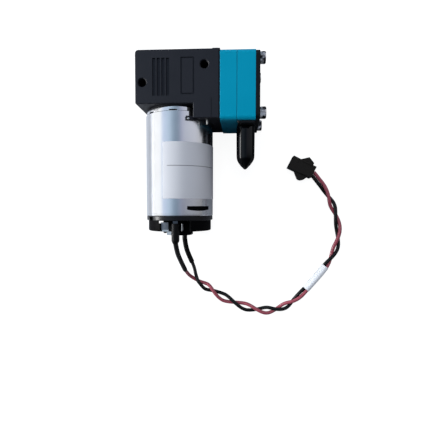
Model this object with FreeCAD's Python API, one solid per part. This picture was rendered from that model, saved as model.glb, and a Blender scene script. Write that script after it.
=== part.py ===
"""Diaphragm liquid pump driven by a brushed direct-current motor, in millimetres.

The pump lies on one side face. The origin is on that face, under the point where the
motor's shaft crosses the axis of the pump head. X runs along the head's axis towards its
screws, Y runs along the shaft from the motor towards the crank housing, and Z is up.
"""
import FreeCAD, Part
import math
import os

# Crank housing
face_stand = 0.25
housing_left = -15.1
head_face_x = 17.8
housing_top = 13.3
housing_height = 26.2
motor_seat_y = -7.6
seat_pad_height = 0.3
seat_pad_margin = 0.8
leg_inner_x = 7.4
leg_clearance = 0.25
corner_radius = 1.4
foot_radius = 0.5
moulded_edge_radius = 0.4
flange_lip_x = 14.9
flange_lip_height = 0.2
crank_radius = 9.4
crank_floor_y = -5.0
tunnel_radius = 4.6
flare_start_x = 13.5
flare_length = 2.0
seam_x = 14.4
seam_width = 0.25
seam_depth = 0.2
seam_top_y = -5.5
joint_width = 0.6
joint_depth = 0.45

# Side holes and face details of the housing
side_hole_diameter = 3.2
side_hole_chamfer = 0.3
side_hole_left = (-12.3, 0.8)
side_hole_right = (11.8, 7.4)
groove_count = 4
groove_left_x = -8.3
groove_pitch = 1.78
groove_width = 1.25
groove_bottom_y = -4.3
groove_length = 14.3
groove_depth = 0.5
panel_left_x = 2.7
panel_width = 5.2
panel_bottom_y = -3.9
panel_length = 14.1
panel_line = 0.5
panel_depth = 0.35

# Hook over the motor
hook_left_x = 4.7
hook_drop = 0.5
hook_length = 1.4
hook_thickness = 0.95

# Access cover in the top of the housing
cover_diameter = 22.0
cover_thickness = 1.8
cover_clearance = 0.1
cover_slot_width = 1.2
cover_slot_length = 9.0
cover_slot_depth = 0.9

# Motor can
can_diameter = 28.0
can_length = 43.2
can_wall = 0.8
can_front_wall = 1.0
nose_step = 0.4
nose_length = 2.2
nose_rounding = 0.9
spigot_diameter = 8.4
spigot_height = 2.0
spigot_clearance = 0.1
collar_depth = 2.2
crimp_count = 8
crimp_width = 3.2
crimp_height = 0.5
crimp_depth = 0.35
crimp_offset = 1.6
crimp_phase = -2.0
window_angle = 43.1
window_width = 10.8
window_height = 1.4
window_bow = 0.5
window_offset = 2.1

# Motor screws
motor_screw_diameter = 2.5
motor_screw_spacing = 13.4
motor_screw_head_diameter = 4.2
motor_screw_head_height = 1.2
motor_screw_reach = 2.2
motor_screw_socket_diameter = 1.3

# Shaft, bushes and spacers
shaft_diameter = 2.5
shaft_front_y = 8.4
bush_diameter = 6.0
bush_length = 4.4
bush_running_gap = 0.03
bush_projection = 0.3
spacer_diameter = 4.6
spacer_gap = 0.3

# Rotor and magnets
front_spacer_length = 7.6
rear_room = 1.6
slot_count = 5
slot_mouth = 1.4
slot_width = 5.2
slot_bottom_radius = 4.4
tooth_tip = 1.6
coil_end_length = 3.4
coil_inset = 1.3
coil_inner_radius = 3.6
magnet_gap = 0.4
magnet_thickness = 2.6
magnet_length = 26.0
magnet_angle = 128.0
commutator_diameter = 6.8
commutator_length = 4.2
commutator_gap = 0.6
segment_slit = 0.35
segment_slit_depth = 0.6

# Brushes and their spring arms
brush_width = 3.0
brush_length = 2.6
brush_height = 2.4
brush_gap = 0.06
arm_thickness = 0.3

# End cap
cap_band_step = 0.1
cap_band_length = 1.9
cap_ring_wall = 1.1
cap_ring_length = 5.4
cap_notch_from = -54.0
cap_notch_to = -42.5
cap_notch_depth = 3.0
cap_notch_floor = 0.4
skirt_step = 0.8
skirt_wall = 2.0
skirt_length = 4.2
skirt_gap_from = -22.0
skirt_gap_to = 28.0
skirt_side_from = -135.0
skirt_side_to = -100.0
cap_window_angle = 9.0
cap_window_height = 1.1
boss_diameter = 11.0
boss_length = 6.4
post_diameter = 3.2
post_x = -4.9
post_inset = 1.6
post_length = 5.0

# Terminals
terminal_width = 2.0
terminal_thickness = 0.5
terminal_inset = 0.9
near_terminal_x = -0.2
far_terminal_x = 0.4
terminal_length = 8.2

# Label round the can
label_thickness = 0.12
label_length = 22.2
label_offset = 14.1
label_from = -19.2
label_to = 128.0

# Eccentric with its counterweight
throw = 1.2
journal_diameter = 6.0
flange_diameter = 7.6
flange_thickness = 1.2
weight_hub_diameter = 9.0
weight_radius = 8.4
weight_thickness = 4.6
weight_relief = 0.4
weight_edge_x = 0.6

# Ball bearing
bearing_outer_diameter = 12.0
bearing_width = 4.0
ball_count = 8
ball_diameter = 1.6
race_clearance = 0.05
ring_wall = 1.0

# Connecting rod
rod_ring_wall = 1.6
rod_stem_diameter = 3.8
rod_flange_x = 14.6
rod_flange_diameter = 10.0
rod_flange_thickness = 1.0
stud_diameter = 3.0
stud_length = 1.6

# Diaphragm
rim_radius = 10.8
rim_inner_radius = 9.2
rim_thickness = 1.2
web_thickness = 0.9
hub_radius = 5.0
hub_thickness = 2.2
stud_clearance = 0.02

# Pump head
head_top_step = 0.2
head_height = 26.7
head_edge_radius = 1.5
plate_edge_radius = 0.15
intermediate_thickness = 6.5
head_plate_thickness = 7.2
chamber_depth = 2.4
chamber_top_radius = 7.0
port_offset = 5.6
channel_diameter = 2.4
valve_sheet_thickness = 0.5
valve_sheet_width = 15.0
valve_sheet_height = 20.0
valve_sheet_corner = 2.0
flap_diameter = 4.8
flap_margin = 0.4
neck_width = 1.6
neck_gap = 0.12
valve_recess_depth = 1.6

# Hose connectors
barb_length = 11.0
tube_diameter = 3.5
barb_diameter = 4.2
barb_count = 3
barb_pitch = 2.2
barb_slope_share = 0.8
bore_diameter = 2.2
connector_shank_diameter = 4.0
connector_shank_length = 5.0

# Pressure plate and head screws
plate_thickness = 1.65
plate_corner = 2.5
plate_rim_radius = 0.3
screw_inset_y = 2.6
screw_inset_z = 3.05
screw_diameter = 2.5
screw_hole_diameter = 2.9
screw_grip = 5.0
screw_head_diameter = 4.7
screw_head_height = 2.2
screw_head_rounding = 0.3
socket_width = 2.0
socket_depth = 1.3

# Vinyl caps on the hose connectors
vinyl_diameter = 7.4
vinyl_length = 17.1
vinyl_bore = 4.3
vinyl_bore_depth = 15.0
vinyl_taper = 4.6
vinyl_tip_radius = 0.9
near_cap_standoff = 1.0
far_cap_standoff = 0.1

# Leads, sleeves and connector
wire_diameter = 1.5
sleeve_diameter = 2.0
collar_diameter = 3.2
collar_bore = 2.2
collar_overlap = 7.0
pair_diameter = 3.1
marker_diameter = 3.6
marker_length = 14.0
arc_share = 0.45

# Connector
plug_angle = -27.0
plug_nose = (48.25, -26.87)
plug_height = 5.2
plug_wing_height = 3.6
plug_outline = [
    (0.0, 2.95), (3.5, 2.95), (6.6, 5.5), (9.7, 4.1), (9.7, 3.0), (11.3, 3.0),
    (11.3, -2.6), (9.4, -2.6), (9.4, -4.2), (6.6, -5.5), (3.5, -2.95), (0.0, -2.95),
]
plug_mouth_depth = 3.0
plug_mouth_wall = 0.8
pin_pitch = 2.5
pin_size = 0.9
pin_length = 6.0
pin_reach = 2.0
lead_entry_depth = 2.0

# Chosen points of the free leads, on the centre line
near_sleeve_points = [(-0.2, -61.6, 24.55), (-0.2, -65.4, 21.6), (0.1, -69.8, 15.4), (1.3, -75.6, 8.4)]
red_lead_points = [(1.3, -75.6, 8.4), (2.1, -78.2, 4.6), (3.7, -80.3, 1.6), (6.4, -82.0, 0.75)]
far_sleeve_points = [(0.4, -61.6, 3.95), (0.7, -65.2, 3.4), (2.0, -69.6, 2.3), (3.5, -73.0, 1.7)]
black_lead_points = [(3.5, -73.0, 1.7), (4.6, -75.6, 1.6), (5.2, -78.8, 2.0), (6.4, -82.0, 2.35)]
pair_points = [
    (6.4, -82.0, 1.55), (8.8, -83.7, 1.55), (12.2, -85.6, 1.55), (16.6, -88.6, 1.55),
    (22.6, -91.5, 1.55), (29.4, -94.1, 1.55), (37.0, -95.5, 1.55), (44.6, -94.4, 1.55),
    (51.6, -89.8, 1.6), (56.4, -84.6, 1.82), (65.6, -73.6, 1.82), (69.6, -66.0, 1.65),
    (70.7, -59.2, 1.55), (69.8, -52.6, 1.55), (67.4, -45.4, 1.6), (63.6, -38.4, 1.95),
    (60.6, -34.8, 2.4), (58.32, -32.0, 2.6),
]
marker_run = (9, 10)

# Places worked out from the sizes above
can_radius = can_diameter / 2
depth = can_diameter + 2 * face_stand
axis_z = depth / 2
nose_radius = can_radius - nose_step
seat_pad_radius = nose_radius - seat_pad_margin
cap_band_radius = can_radius - cap_band_step
skirt_radius = can_radius - skirt_step
skirt_inner_radius = skirt_radius - skirt_wall
post_radius_from_axis = skirt_inner_radius - post_inset
terminal_radius = skirt_inner_radius - terminal_inset
can_rear_y = motor_seat_y - can_length
housing_floor_y = motor_seat_y + seat_pad_height
leg_bottom_y = housing_top - housing_height
head_top_y = housing_top - head_top_step
head_bottom_y = head_top_y - head_height
clear_radius = can_radius + leg_clearance
plate_x = head_face_x + intermediate_thickness
outer_plate_x = plate_x + head_plate_thickness
screw_face_x = outer_plate_x + plate_thickness
port_x = plate_x + head_plate_thickness / 2
shaft_radius = shaft_diameter / 2
band_rear_y = can_rear_y - cap_band_length
bearing_radius = bearing_outer_diameter / 2
front_bush_top = motor_seat_y + spigot_height + bush_projection
rear_bush_top = can_rear_y + bush_projection
core_front_y = front_bush_top - bush_length - spacer_gap - front_spacer_length - coil_end_length
commutator_front_y = can_rear_y + rear_room + commutator_length
core_length = core_front_y - commutator_front_y - commutator_gap - coil_end_length
cover_seat_y = housing_top - cover_thickness
sheet_x = plate_x - valve_sheet_thickness
magnet_radius = can_radius - can_wall - magnet_thickness
core_radius = magnet_radius - magnet_gap
tolerance = 1e-6
sector_step = 40.0


def vec(x, y, z):
    return FreeCAD.Vector(x, y, z)


X_AXIS, Y_AXIS, Z_AXIS = vec(1, 0, 0), vec(0, 1, 0), vec(0, 0, 1)
SHAFT_AXIS = vec(0, 0, axis_z)


def block(x0, x1, y0, y1, z0, z1):
    return Part.makeBox(x1 - x0, y1 - y0, z1 - z0, vec(x0, y0, z0))


def drum(radius, y0, y1, x=0.0, z=axis_z):
    """Cylinder along Y, about the shaft unless another centre is given."""
    return Part.makeCylinder(radius, y1 - y0, vec(x, y0, z), Y_AXIS)


def barrel(radius, x0, x1, y=0.0, z=axis_z):
    """Cylinder along X, about the head's axis unless another centre is given."""
    return Part.makeCylinder(radius, x1 - x0, vec(x0, y, z), X_AXIS)


def face_of(points):
    return Part.Face(Part.makePolygon(points + points[:1]))


def turned(shape, degrees):
    """The shape turned about the shaft, clockwise as seen from the motor's rear."""
    copy = shape.copy()
    copy.rotate(SHAFT_AXIS, Y_AXIS, degrees)
    return copy


def sector(radius, y0, y1, from_deg, to_deg):
    """Wedge about the shaft between two angles, measured from +Z towards +X."""
    steps = max(2, math.ceil((to_deg - from_deg) / sector_step))
    step = math.radians((to_deg - from_deg) / steps)
    reach = radius / math.cos(step / 2)
    corners = [vec(0, y0, axis_z)]
    for i in range(steps + 1):
        a = math.radians(from_deg) + step * i
        corners.append(vec(reach * math.sin(a), y0, axis_z + reach * math.cos(a)))
    return face_of(corners).extrude(vec(0, y1 - y0, 0))


def lines_along(shape, direction, test=lambda e: True):
    """Straight edges parallel to a direction that also pass a test."""
    found = []
    for edge in shape.Edges:
        if edge.Curve.TypeId != "Part::GeomLine":
            continue
        if abs(abs(edge.tangentAt(edge.FirstParameter).dot(direction)) - 1) < tolerance and test(edge):
            found.append(edge)
    return found


def rims_at(shape, axis, place):
    """Edges that lie in the plane at one place along an axis."""
    flat = lambda e: max(abs(v.Point.dot(axis) - place) for v in e.Vertexes) < tolerance
    return [e for e in shape.Edges if flat(e) and abs(e.CenterOfMass.dot(axis) - place) < tolerance]


def screw_places():
    """Y and Z of the four head screws."""
    reach_y, reach_z = head_top_y - screw_inset_y, depth / 2 - screw_inset_z
    return [(y * reach_y, axis_z + z * reach_z) for y in (-1, 1) for z in (-1, 1)]


def export(name, shape):
    """Write one piece, without its splitting lines where it stays sound without them."""
    joined = shape.removeSplitter()
    if joined.isValid():
        shape = joined
    shape.exportStep("parts/" + name + ".step")
    print(f"{name}: {len(shape.Solids)} solid, {shape.Volume:.1f} mm3")


# Crank housing

def left_edges(body, side):
    """Upright edges on the left, above (1) or below (-1) the shaft's crossing."""
    return lines_along(body, Z_AXIS, lambda e: e.CenterOfMass.x < 0 and e.CenterOfMass.y * side > 0)


def moulding_block():
    """Block and leg in one, with the rounded outer edges that a mould gives."""
    body = block(housing_left, head_face_x, housing_floor_y, housing_top, 0, depth)
    leg = block(leg_inner_x, head_face_x, leg_bottom_y, housing_floor_y, 0, depth)
    body = body.fuse(leg).removeSplitter()
    body = body.makeFillet(corner_radius, left_edges(body, 1))
    body = body.makeFillet(foot_radius, left_edges(body, -1))
    outline = [e for e in rims_at(body, Z_AXIS, 0) + rims_at(body, Z_AXIS, depth)
               if e.CenterOfMass.x < head_face_x - tolerance]
    return body.makeFillet(moulded_edge_radius, outline)


def head_flange_lip():
    """Low lip over the head's joint, along the top of the moulding."""
    lip = block(flange_lip_x, head_face_x, housing_top - moulded_edge_radius, housing_top + flange_lip_height,
                0, depth)
    top = lines_along(lip, X_AXIS, lambda e: e.CenterOfMass.y > housing_top)
    return lip.makeFillet(moulded_edge_radius, top)


def hooks():
    """Short hooks from the leg over the can, on the near and the far side."""
    low = leg_bottom_y - hook_drop
    body = block(hook_left_x, leg_inner_x + corner_radius, low, low + hook_length, 0, depth)
    body = body.common(drum(clear_radius + hook_thickness, low, low + hook_length))
    return body.cut(drum(clear_radius, low, low + hook_length))


def crank_space():
    """Room for the eccentric and the rod, and the seats that open from it."""
    space = drum(crank_radius, crank_floor_y, cover_seat_y)
    space = space.fuse(drum(cover_diameter / 2, cover_seat_y, housing_top))
    space = space.fuse(barrel(tunnel_radius, 0, flare_start_x))
    flare_base = vec(flare_start_x, 0, axis_z)
    space = space.fuse(Part.makeCone(tunnel_radius, rim_inner_radius, flare_length, flare_base, X_AXIS))
    space = space.fuse(barrel(rim_inner_radius, flare_start_x + flare_length, head_face_x))
    space = space.fuse(barrel(rim_radius, head_face_x - rim_thickness / 2, head_face_x))
    return space.fuse(drum(spigot_diameter / 2 + spigot_clearance, motor_seat_y, crank_floor_y))


def face_details():
    """Grooves, plain panel and joint lines."""
    cuts = []
    for i in range(groove_count):
        x = groove_left_x + i * groove_pitch
        cuts.append(block(x, x + groove_width, groove_bottom_y, groove_bottom_y + groove_length,
                          depth - groove_depth, depth))
    return cuts + [panel_frame()] + joint_lines()


def panel_frame():
    """Sunk line round a plain panel."""
    left, right = panel_left_x, panel_left_x + panel_width
    low, high = panel_bottom_y, panel_bottom_y + panel_length
    frame = block(left, right, low, high, depth - panel_depth, depth)
    return frame.cut(block(left + panel_line, right - panel_line, low + panel_line, high - panel_line, 0, depth))


def joint_lines():
    """Fine seam in the near face, and the rebates beside the pump head's joint."""
    top, left = housing_top + flange_lip_height, head_face_x - joint_width
    seam = block(seam_x, seam_x + seam_width, leg_bottom_y, seam_top_y, depth - seam_depth, depth)
    return [seam, block(left, head_face_x, leg_bottom_y, top, depth - joint_depth, depth),
            block(left, head_face_x, leg_bottom_y, top, 0, joint_depth)]


def side_holes():
    """The two through holes of the side faces, with a small chamfer at each end."""
    radius = side_hole_diameter / 2
    wide, top = radius + side_hole_chamfer, depth - side_hole_chamfer
    cuts = []
    for x, y in (side_hole_left, side_hole_right):
        cuts.append(Part.makeCylinder(radius, depth, vec(x, y, 0), Z_AXIS))
        cuts.append(Part.makeCone(wide, radius, side_hole_chamfer, vec(x, y, 0), Z_AXIS))
        cuts.append(Part.makeCone(radius, wide, side_hole_chamfer, vec(x, y, top), Z_AXIS))
    return cuts


def bored(body):
    """One part of the moulding without the crank space and the holes that run through both."""
    holes = [crank_space()] + side_holes()
    for y, z in screw_places():
        holes.append(barrel(screw_diameter / 2, head_face_x - screw_grip, head_face_x, y, z))
    for side in (-1, 1):
        z = axis_z + side * motor_screw_spacing / 2
        holes.append(drum(motor_screw_diameter / 2, motor_seat_y, crank_floor_y, 0, z))
    return body.cut(holes)


def motor_cradle():
    """Leg beside the motor, hollowed for the can, with its hooks."""
    room = block(housing_left, head_face_x, leg_bottom_y, housing_floor_y, 0, depth)
    body = moulding_block().common(room).cut(drum(clear_radius, leg_bottom_y, housing_floor_y))
    return bored(body.fuse(hooks())).cut(joint_lines())


def housing():
    """Crank case: the upper part of the moulding, with the seat for the motor's face."""
    room = block(housing_left, head_face_x, housing_floor_y, housing_top, 0, depth)
    seat_pad = drum(seat_pad_radius, motor_seat_y, housing_floor_y)
    body = moulding_block().common(room).fuse([seat_pad, head_flange_lip()])
    return bored(body).cut(face_details())


def access_cover():
    disc = drum(cover_diameter / 2 - cover_clearance, cover_seat_y, housing_top)
    slot = block(-cover_slot_length / 2, cover_slot_length / 2, housing_top - cover_slot_depth, housing_top,
                 axis_z - cover_slot_width / 2, axis_z + cover_slot_width / 2)
    return disc.cut(slot)


# Motor

def can_window(angle):
    """Vent window near the can's rear, with one bowed edge, at an angle about the shaft."""
    half = window_width / 2
    top_y = can_rear_y + window_offset + window_height + window_bow
    low_y = top_y - window_height
    z = axis_z + can_radius / 2
    corners = [vec(-half, low_y, z), vec(-half, top_y, z), vec(half, top_y, z), vec(half, low_y, z)]
    bow = Part.Arc(corners[3], vec(0, low_y - window_bow, z), corners[0]).toShape()
    sides = [Part.makeLine(corners[i], corners[i + 1]) for i in range(3)]
    face = Part.Face(Part.Wire(sides + [bow]))
    return turned(face.extrude(vec(0, 0, can_radius)), angle)


def motor_can():
    nose_y = motor_seat_y - nose_length
    body = drum(can_radius, can_rear_y, nose_y).fuse(drum(nose_radius, nose_y, motor_seat_y))
    body = body.makeFillet(nose_rounding, rims_at(body, Y_AXIS, motor_seat_y))
    body = body.cut(drum(can_radius - can_wall, can_rear_y, motor_seat_y - can_front_wall))
    inner_y = motor_seat_y - can_front_wall - collar_depth
    body = body.fuse(drum(spigot_diameter / 2, inner_y, motor_seat_y + spigot_height))
    body = body.cut(drum(bush_diameter / 2, inner_y, motor_seat_y + spigot_height))
    cuts = [can_window(window_angle), can_window(window_angle + 180)]
    for side in (-1, 1):
        z = axis_z + side * motor_screw_spacing / 2
        cuts.append(drum(motor_screw_diameter / 2, motor_seat_y - can_front_wall, motor_seat_y, 0, z))
    slit_y = motor_seat_y - crimp_offset
    slit = block(-crimp_width / 2, crimp_width / 2, slit_y - crimp_height, slit_y,
                 axis_z + nose_radius - crimp_depth, axis_z + can_radius)
    for i in range(crimp_count):
        cuts.append(turned(slit, crimp_phase + i * 360 / crimp_count))
    return body.cut(cuts)


def motor_screws():
    screws = []
    for side in (-1, 1):
        z = axis_z + side * motor_screw_spacing / 2
        shank = drum(motor_screw_diameter / 2, motor_seat_y - motor_screw_reach, crank_floor_y, 0, z)
        head_end = crank_floor_y + motor_screw_head_height
        head = drum(motor_screw_head_diameter / 2, crank_floor_y, head_end, 0, z)
        socket = drum(motor_screw_socket_diameter / 2, head_end - motor_screw_head_height / 2, head_end, 0, z)
        screws.append(shank.fuse(head).cut(socket).removeSplitter())
    return Part.makeCompound(screws)


def bush(y0, y1):
    return drum(bush_diameter / 2, y0, y1).cut(drum(shaft_radius + bush_running_gap, y0, y1))


def magnets():
    rear = core_front_y - core_length / 2 - magnet_length / 2
    shell = drum(can_radius - can_wall, rear, rear + magnet_length)
    shell = shell.cut(drum(magnet_radius, rear, rear + magnet_length))
    half = magnet_angle / 2
    return Part.makeCompound([
        shell.common(sector(can_radius, rear, rear + magnet_length, 90 + turn - half, 90 + turn + half))
        for turn in (0, 180)])


def slot_shape(y0, y1, width, mouth):
    """One winding slot of the core, open to the air gap through a narrow mouth."""
    pocket = block(-width / 2, width / 2, y0, y1, axis_z + slot_bottom_radius,
                   axis_z + core_radius - tooth_tip)
    if mouth:
        pocket = pocket.fuse(block(-mouth / 2, mouth / 2, y0, y1, axis_z + slot_bottom_radius,
                                   axis_z + core_radius))
    return pocket


def rotor_core():
    rear = core_front_y - core_length
    core = drum(core_radius, rear, core_front_y)
    slots = [turned(slot_shape(rear, core_front_y, slot_width, slot_mouth), i * 360 / slot_count)
             for i in range(slot_count)]
    return core.cut(slots + [drum(shaft_radius, rear, core_front_y)])


def windings():
    rear = core_front_y - core_length
    coil_radius = core_radius - coil_inset
    front_coil = drum(coil_radius, core_front_y, core_front_y + coil_end_length)
    rear_coil = drum(coil_radius, rear - coil_end_length, rear)
    coils = front_coil.fuse(rear_coil)
    for y in (core_front_y + coil_end_length, rear - coil_end_length):
        coils = coils.makeFillet(coil_end_length / 2, rims_at(coils, Y_AXIS, y))
    slots = [turned(slot_shape(rear, core_front_y, slot_width, 0), i * 360 / slot_count)
             for i in range(slot_count)]
    coils = coils.fuse(slots)
    return coils.cut([drum(coil_inner_radius, core_front_y, core_front_y + coil_end_length),
                      drum(coil_inner_radius, rear - coil_end_length, rear)])


def commutator():
    rear = commutator_front_y - commutator_length
    body = drum(commutator_diameter / 2, rear, commutator_front_y)
    slit = block(-segment_slit / 2, segment_slit / 2, rear, commutator_front_y,
                 axis_z + commutator_diameter / 2 - segment_slit_depth, axis_z + commutator_diameter / 2)
    slits = [turned(slit, (i + 0.5) * 360 / slot_count) for i in range(slot_count)]
    return body.cut(slits + [drum(shaft_radius, rear, commutator_front_y)])


def shaft():
    return drum(shaft_radius, rear_bush_top - bush_length, shaft_front_y)


def shaft_spacers():
    """Collars that keep the rotor clear of both bushes."""
    front = (core_front_y + coil_end_length, front_bush_top - bush_length - spacer_gap)
    rear = (rear_bush_top + spacer_gap, commutator_front_y - commutator_length)
    middle = (commutator_front_y, core_front_y - core_length)
    rings = [drum(spacer_diameter / 2, y0, y1).cut(drum(shaft_radius, y0, y1))
             for y0, y1 in (front, rear, middle)]
    return Part.makeCompound(rings)


def brush_parts():
    """Two carbon brushes and the spring arms that carry them, on both sides of the commutator."""
    top_y = commutator_front_y - (commutator_length - brush_length) / 2
    blocks, arms = [], []
    face_z = axis_z + commutator_diameter / 2 + brush_gap
    block_z = face_z + brush_height
    for turn in (0, 180):
        blocks.append(turned(block(-brush_width / 2, brush_width / 2, top_y - brush_length, top_y,
                                   face_z, block_z), turn))
        arms.append(turned(block(-brush_width / 2, brush_width / 2, can_rear_y, top_y,
                                 block_z, block_z + arm_thickness), turn))
    return Part.makeCompound(blocks), Part.makeCompound(arms)


def end_cap():
    """Plastic end cap: band, ring inside the can, skirt with gaps, posts and bearing boss."""
    skirt_end = band_rear_y - skirt_length
    body = drum(cap_band_radius, band_rear_y, can_rear_y)
    ring = drum(can_radius - can_wall, can_rear_y, can_rear_y + cap_ring_length)
    ring = ring.cut(drum(can_radius - can_wall - cap_ring_wall, can_rear_y, can_rear_y + cap_ring_length))
    skirt = drum(skirt_radius, skirt_end, band_rear_y)
    skirt = skirt.cut(drum(skirt_inner_radius, skirt_end, band_rear_y))
    gaps = [sector(can_radius, skirt_end, band_rear_y, skirt_gap_from, skirt_gap_to),
            sector(can_radius, band_rear_y - cap_window_height, band_rear_y,
                   skirt_gap_from - cap_window_angle, skirt_gap_from)]
    gaps += [gap.mirror(SHAFT_AXIS, Z_AXIS) for gap in gaps]
    gaps.append(sector(can_radius, skirt_end, band_rear_y, skirt_side_from, skirt_side_to))
    notch_end = can_rear_y - cap_notch_floor
    notch = sector(can_radius, band_rear_y, notch_end, cap_notch_from, cap_notch_to)
    body = body.cut(notch.cut(drum(cap_band_radius - cap_notch_depth, band_rear_y, notch_end)))
    body = body.fuse([ring, skirt.cut(gaps), drum(boss_diameter / 2, band_rear_y - boss_length, band_rear_y)])
    for side in (-1, 1):
        z = axis_z + side * post_radius_from_axis
        body = body.fuse(drum(post_diameter / 2, band_rear_y - post_length, band_rear_y, post_x, z))
    cuts = [drum(bush_diameter / 2, rear_bush_top - bush_length, can_rear_y)] + terminal_tabs()
    return body.cut(cuts)


def terminal_tabs():
    """Flat solder tabs through the end cap, above and below the shaft."""
    tabs = []
    for side, x in ((1, near_terminal_x), (-1, far_terminal_x)):
        z = axis_z + side * terminal_radius
        tabs.append(block(x - terminal_width / 2, x + terminal_width / 2, band_rear_y - terminal_length,
                          can_rear_y, z - terminal_thickness / 2, z + terminal_thickness / 2))
    return tabs


def label():
    top = motor_seat_y - label_offset
    sheet = drum(can_radius + label_thickness, top - label_length, top)
    sheet = sheet.cut(drum(can_radius, top - label_length, top))
    return sheet.common(sector(can_radius + label_thickness, top - label_length, top, label_from, label_to))


# Eccentric drive

def eccentric():
    """Journal set off the shaft by the throw, with a half-disc weight on the other side."""
    half = bearing_width / 2
    weight_y = half + weight_relief
    weight_end = weight_y + weight_thickness
    body = drum(journal_diameter / 2, -half, half, -throw)
    body = body.fuse(drum(flange_diameter / 2, -half - flange_thickness, -half, -throw))
    body = body.fuse(drum(flange_diameter / 2, half, weight_y, -throw))
    weight = drum(weight_radius, weight_y, weight_end)
    weight = weight.common(block(weight_edge_x, weight_radius, weight_y, weight_end, 0, depth))
    body = body.fuse([drum(weight_hub_diameter / 2, weight_y, weight_end), weight])
    return body.cut(drum(shaft_radius, -half - flange_thickness, weight_end))


def bearing():
    """Inner ring, outer ring and balls, about the journal's centre."""
    half = bearing_width / 2
    inner_radius, outer_radius = journal_diameter / 2, bearing_radius
    pitch_radius = (inner_radius + outer_radius) / 2
    race = Part.makeTorus(pitch_radius, ball_diameter / 2 + race_clearance, vec(-throw, 0, axis_z), Y_AXIS)
    inner = drum(inner_radius + ring_wall, -half, half, -throw).cut(drum(inner_radius, -half, half, -throw))
    outer = drum(outer_radius, -half, half, -throw).cut(drum(outer_radius - ring_wall, -half, half, -throw))
    balls = []
    for i in range(ball_count):
        a = math.radians(i * 360 / ball_count)
        centre = vec(-throw + pitch_radius * math.sin(a), 0, axis_z + pitch_radius * math.cos(a))
        balls.append(Part.makeSphere(ball_diameter / 2, centre))
    return inner.cut(race), outer.cut(race), Part.makeCompound(balls)


def connecting_rod():
    """Ring round the bearing, stem, and the flange and stud that carry the diaphragm."""
    half = bearing_width / 2
    ring = drum(bearing_radius + rod_ring_wall, -half, half, -throw)
    stem = barrel(rod_stem_diameter / 2, bearing_radius - throw, rod_flange_x)
    flange_end = rod_flange_x + rod_flange_thickness
    flange = barrel(rod_flange_diameter / 2, rod_flange_x, flange_end)
    stud = barrel(stud_diameter / 2, flange_end, flange_end + stud_length)
    body = ring.fuse([stem, flange, stud])
    return body.cut(drum(bearing_radius, -half, half, -throw))


def diaphragm():
    """Moulded rubber disc: clamped rim, thin rolling web and a thick hub on the rod."""
    hub_x = rod_flange_x + rod_flange_thickness
    rim_x = head_face_x - rim_thickness / 2
    web_top = rim_x + (rim_thickness + web_thickness) / 2
    hub_top = hub_x + hub_thickness
    hub_web = hub_top - web_thickness
    web_low = web_top - web_thickness
    profile = [(hub_x, 0), (hub_x, hub_radius), (hub_web, hub_radius), (web_low, rim_inner_radius),
               (rim_x, rim_inner_radius), (rim_x, rim_radius), (rim_x + rim_thickness, rim_radius),
               (rim_x + rim_thickness, rim_inner_radius), (web_top, rim_inner_radius), (hub_top, hub_radius),
               (hub_top, 0)]
    face = face_of([vec(x, r, axis_z) for x, r in profile])
    body = face.revolve(SHAFT_AXIS, X_AXIS, 360)
    pocket = barrel(stud_diameter / 2 + stud_clearance, hub_x, hub_x + stud_length + stud_clearance)
    return body.cut(pocket)


# Pump head

def head_block(x0, x1):
    """Slice of the head between two planes, with rounded long edges."""
    body = block(x0, x1, head_bottom_y, head_top_y, 0, depth)
    body = body.makeFillet(head_edge_radius, lines_along(body, X_AXIS))
    body = body.makeFillet(plate_edge_radius, rims_at(body, X_AXIS, x0) + rims_at(body, X_AXIS, x1))
    return body.cut([barrel(screw_hole_diameter / 2, x0, x1, y, z) for y, z in screw_places()])


def flap_room(side, x0, x1):
    """Round pocket with a neck pocket, where a valve flap moves."""
    z = axis_z + side * port_offset
    reach = flap_diameter / 2 + flap_margin
    room = barrel(reach, x0, x1, 0, z)
    return room.fuse(block(x0, x1, 0, reach, z - neck_width / 2 - neck_gap, z + neck_width / 2 + neck_gap))


def valve_flap(side):
    """Round rubber flap with the neck on which it bends."""
    z = axis_z + side * port_offset
    disc = barrel(flap_diameter / 2, sheet_x, plate_x, 0, z)
    neck_end = flap_diameter / 2 + flap_margin - neck_gap
    return disc.fuse(block(sheet_x, plate_x, 0, neck_end, z - neck_width / 2, z + neck_width / 2))


def valve_sheet_blank():
    body = block(sheet_x, plate_x, -valve_sheet_width / 2, valve_sheet_width / 2,
                 axis_z - valve_sheet_height / 2, axis_z + valve_sheet_height / 2)
    return body.makeFillet(valve_sheet_corner, lines_along(body, X_AXIS))


def valve_sheet():
    return valve_sheet_blank().cut([flap_room(side, sheet_x, plate_x) for side in (-1, 1)])


def intermediate_plate():
    body = head_block(head_face_x, plate_x)
    recess_end = head_face_x + rim_thickness / 2
    chamber_base = vec(recess_end, 0, axis_z)
    chamber = Part.makeCone(rim_inner_radius, chamber_top_radius, chamber_depth, chamber_base, X_AXIS)
    cuts = [barrel(rim_radius, head_face_x, recess_end), chamber, valve_sheet_blank()]
    for side in (-1, 1):
        z = axis_z + side * port_offset
        cuts.append(barrel(channel_diameter / 2, recess_end, plate_x, 0, z))
    cuts.append(flap_room(1, sheet_x - valve_recess_depth, sheet_x))
    return body.cut(cuts)


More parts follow.
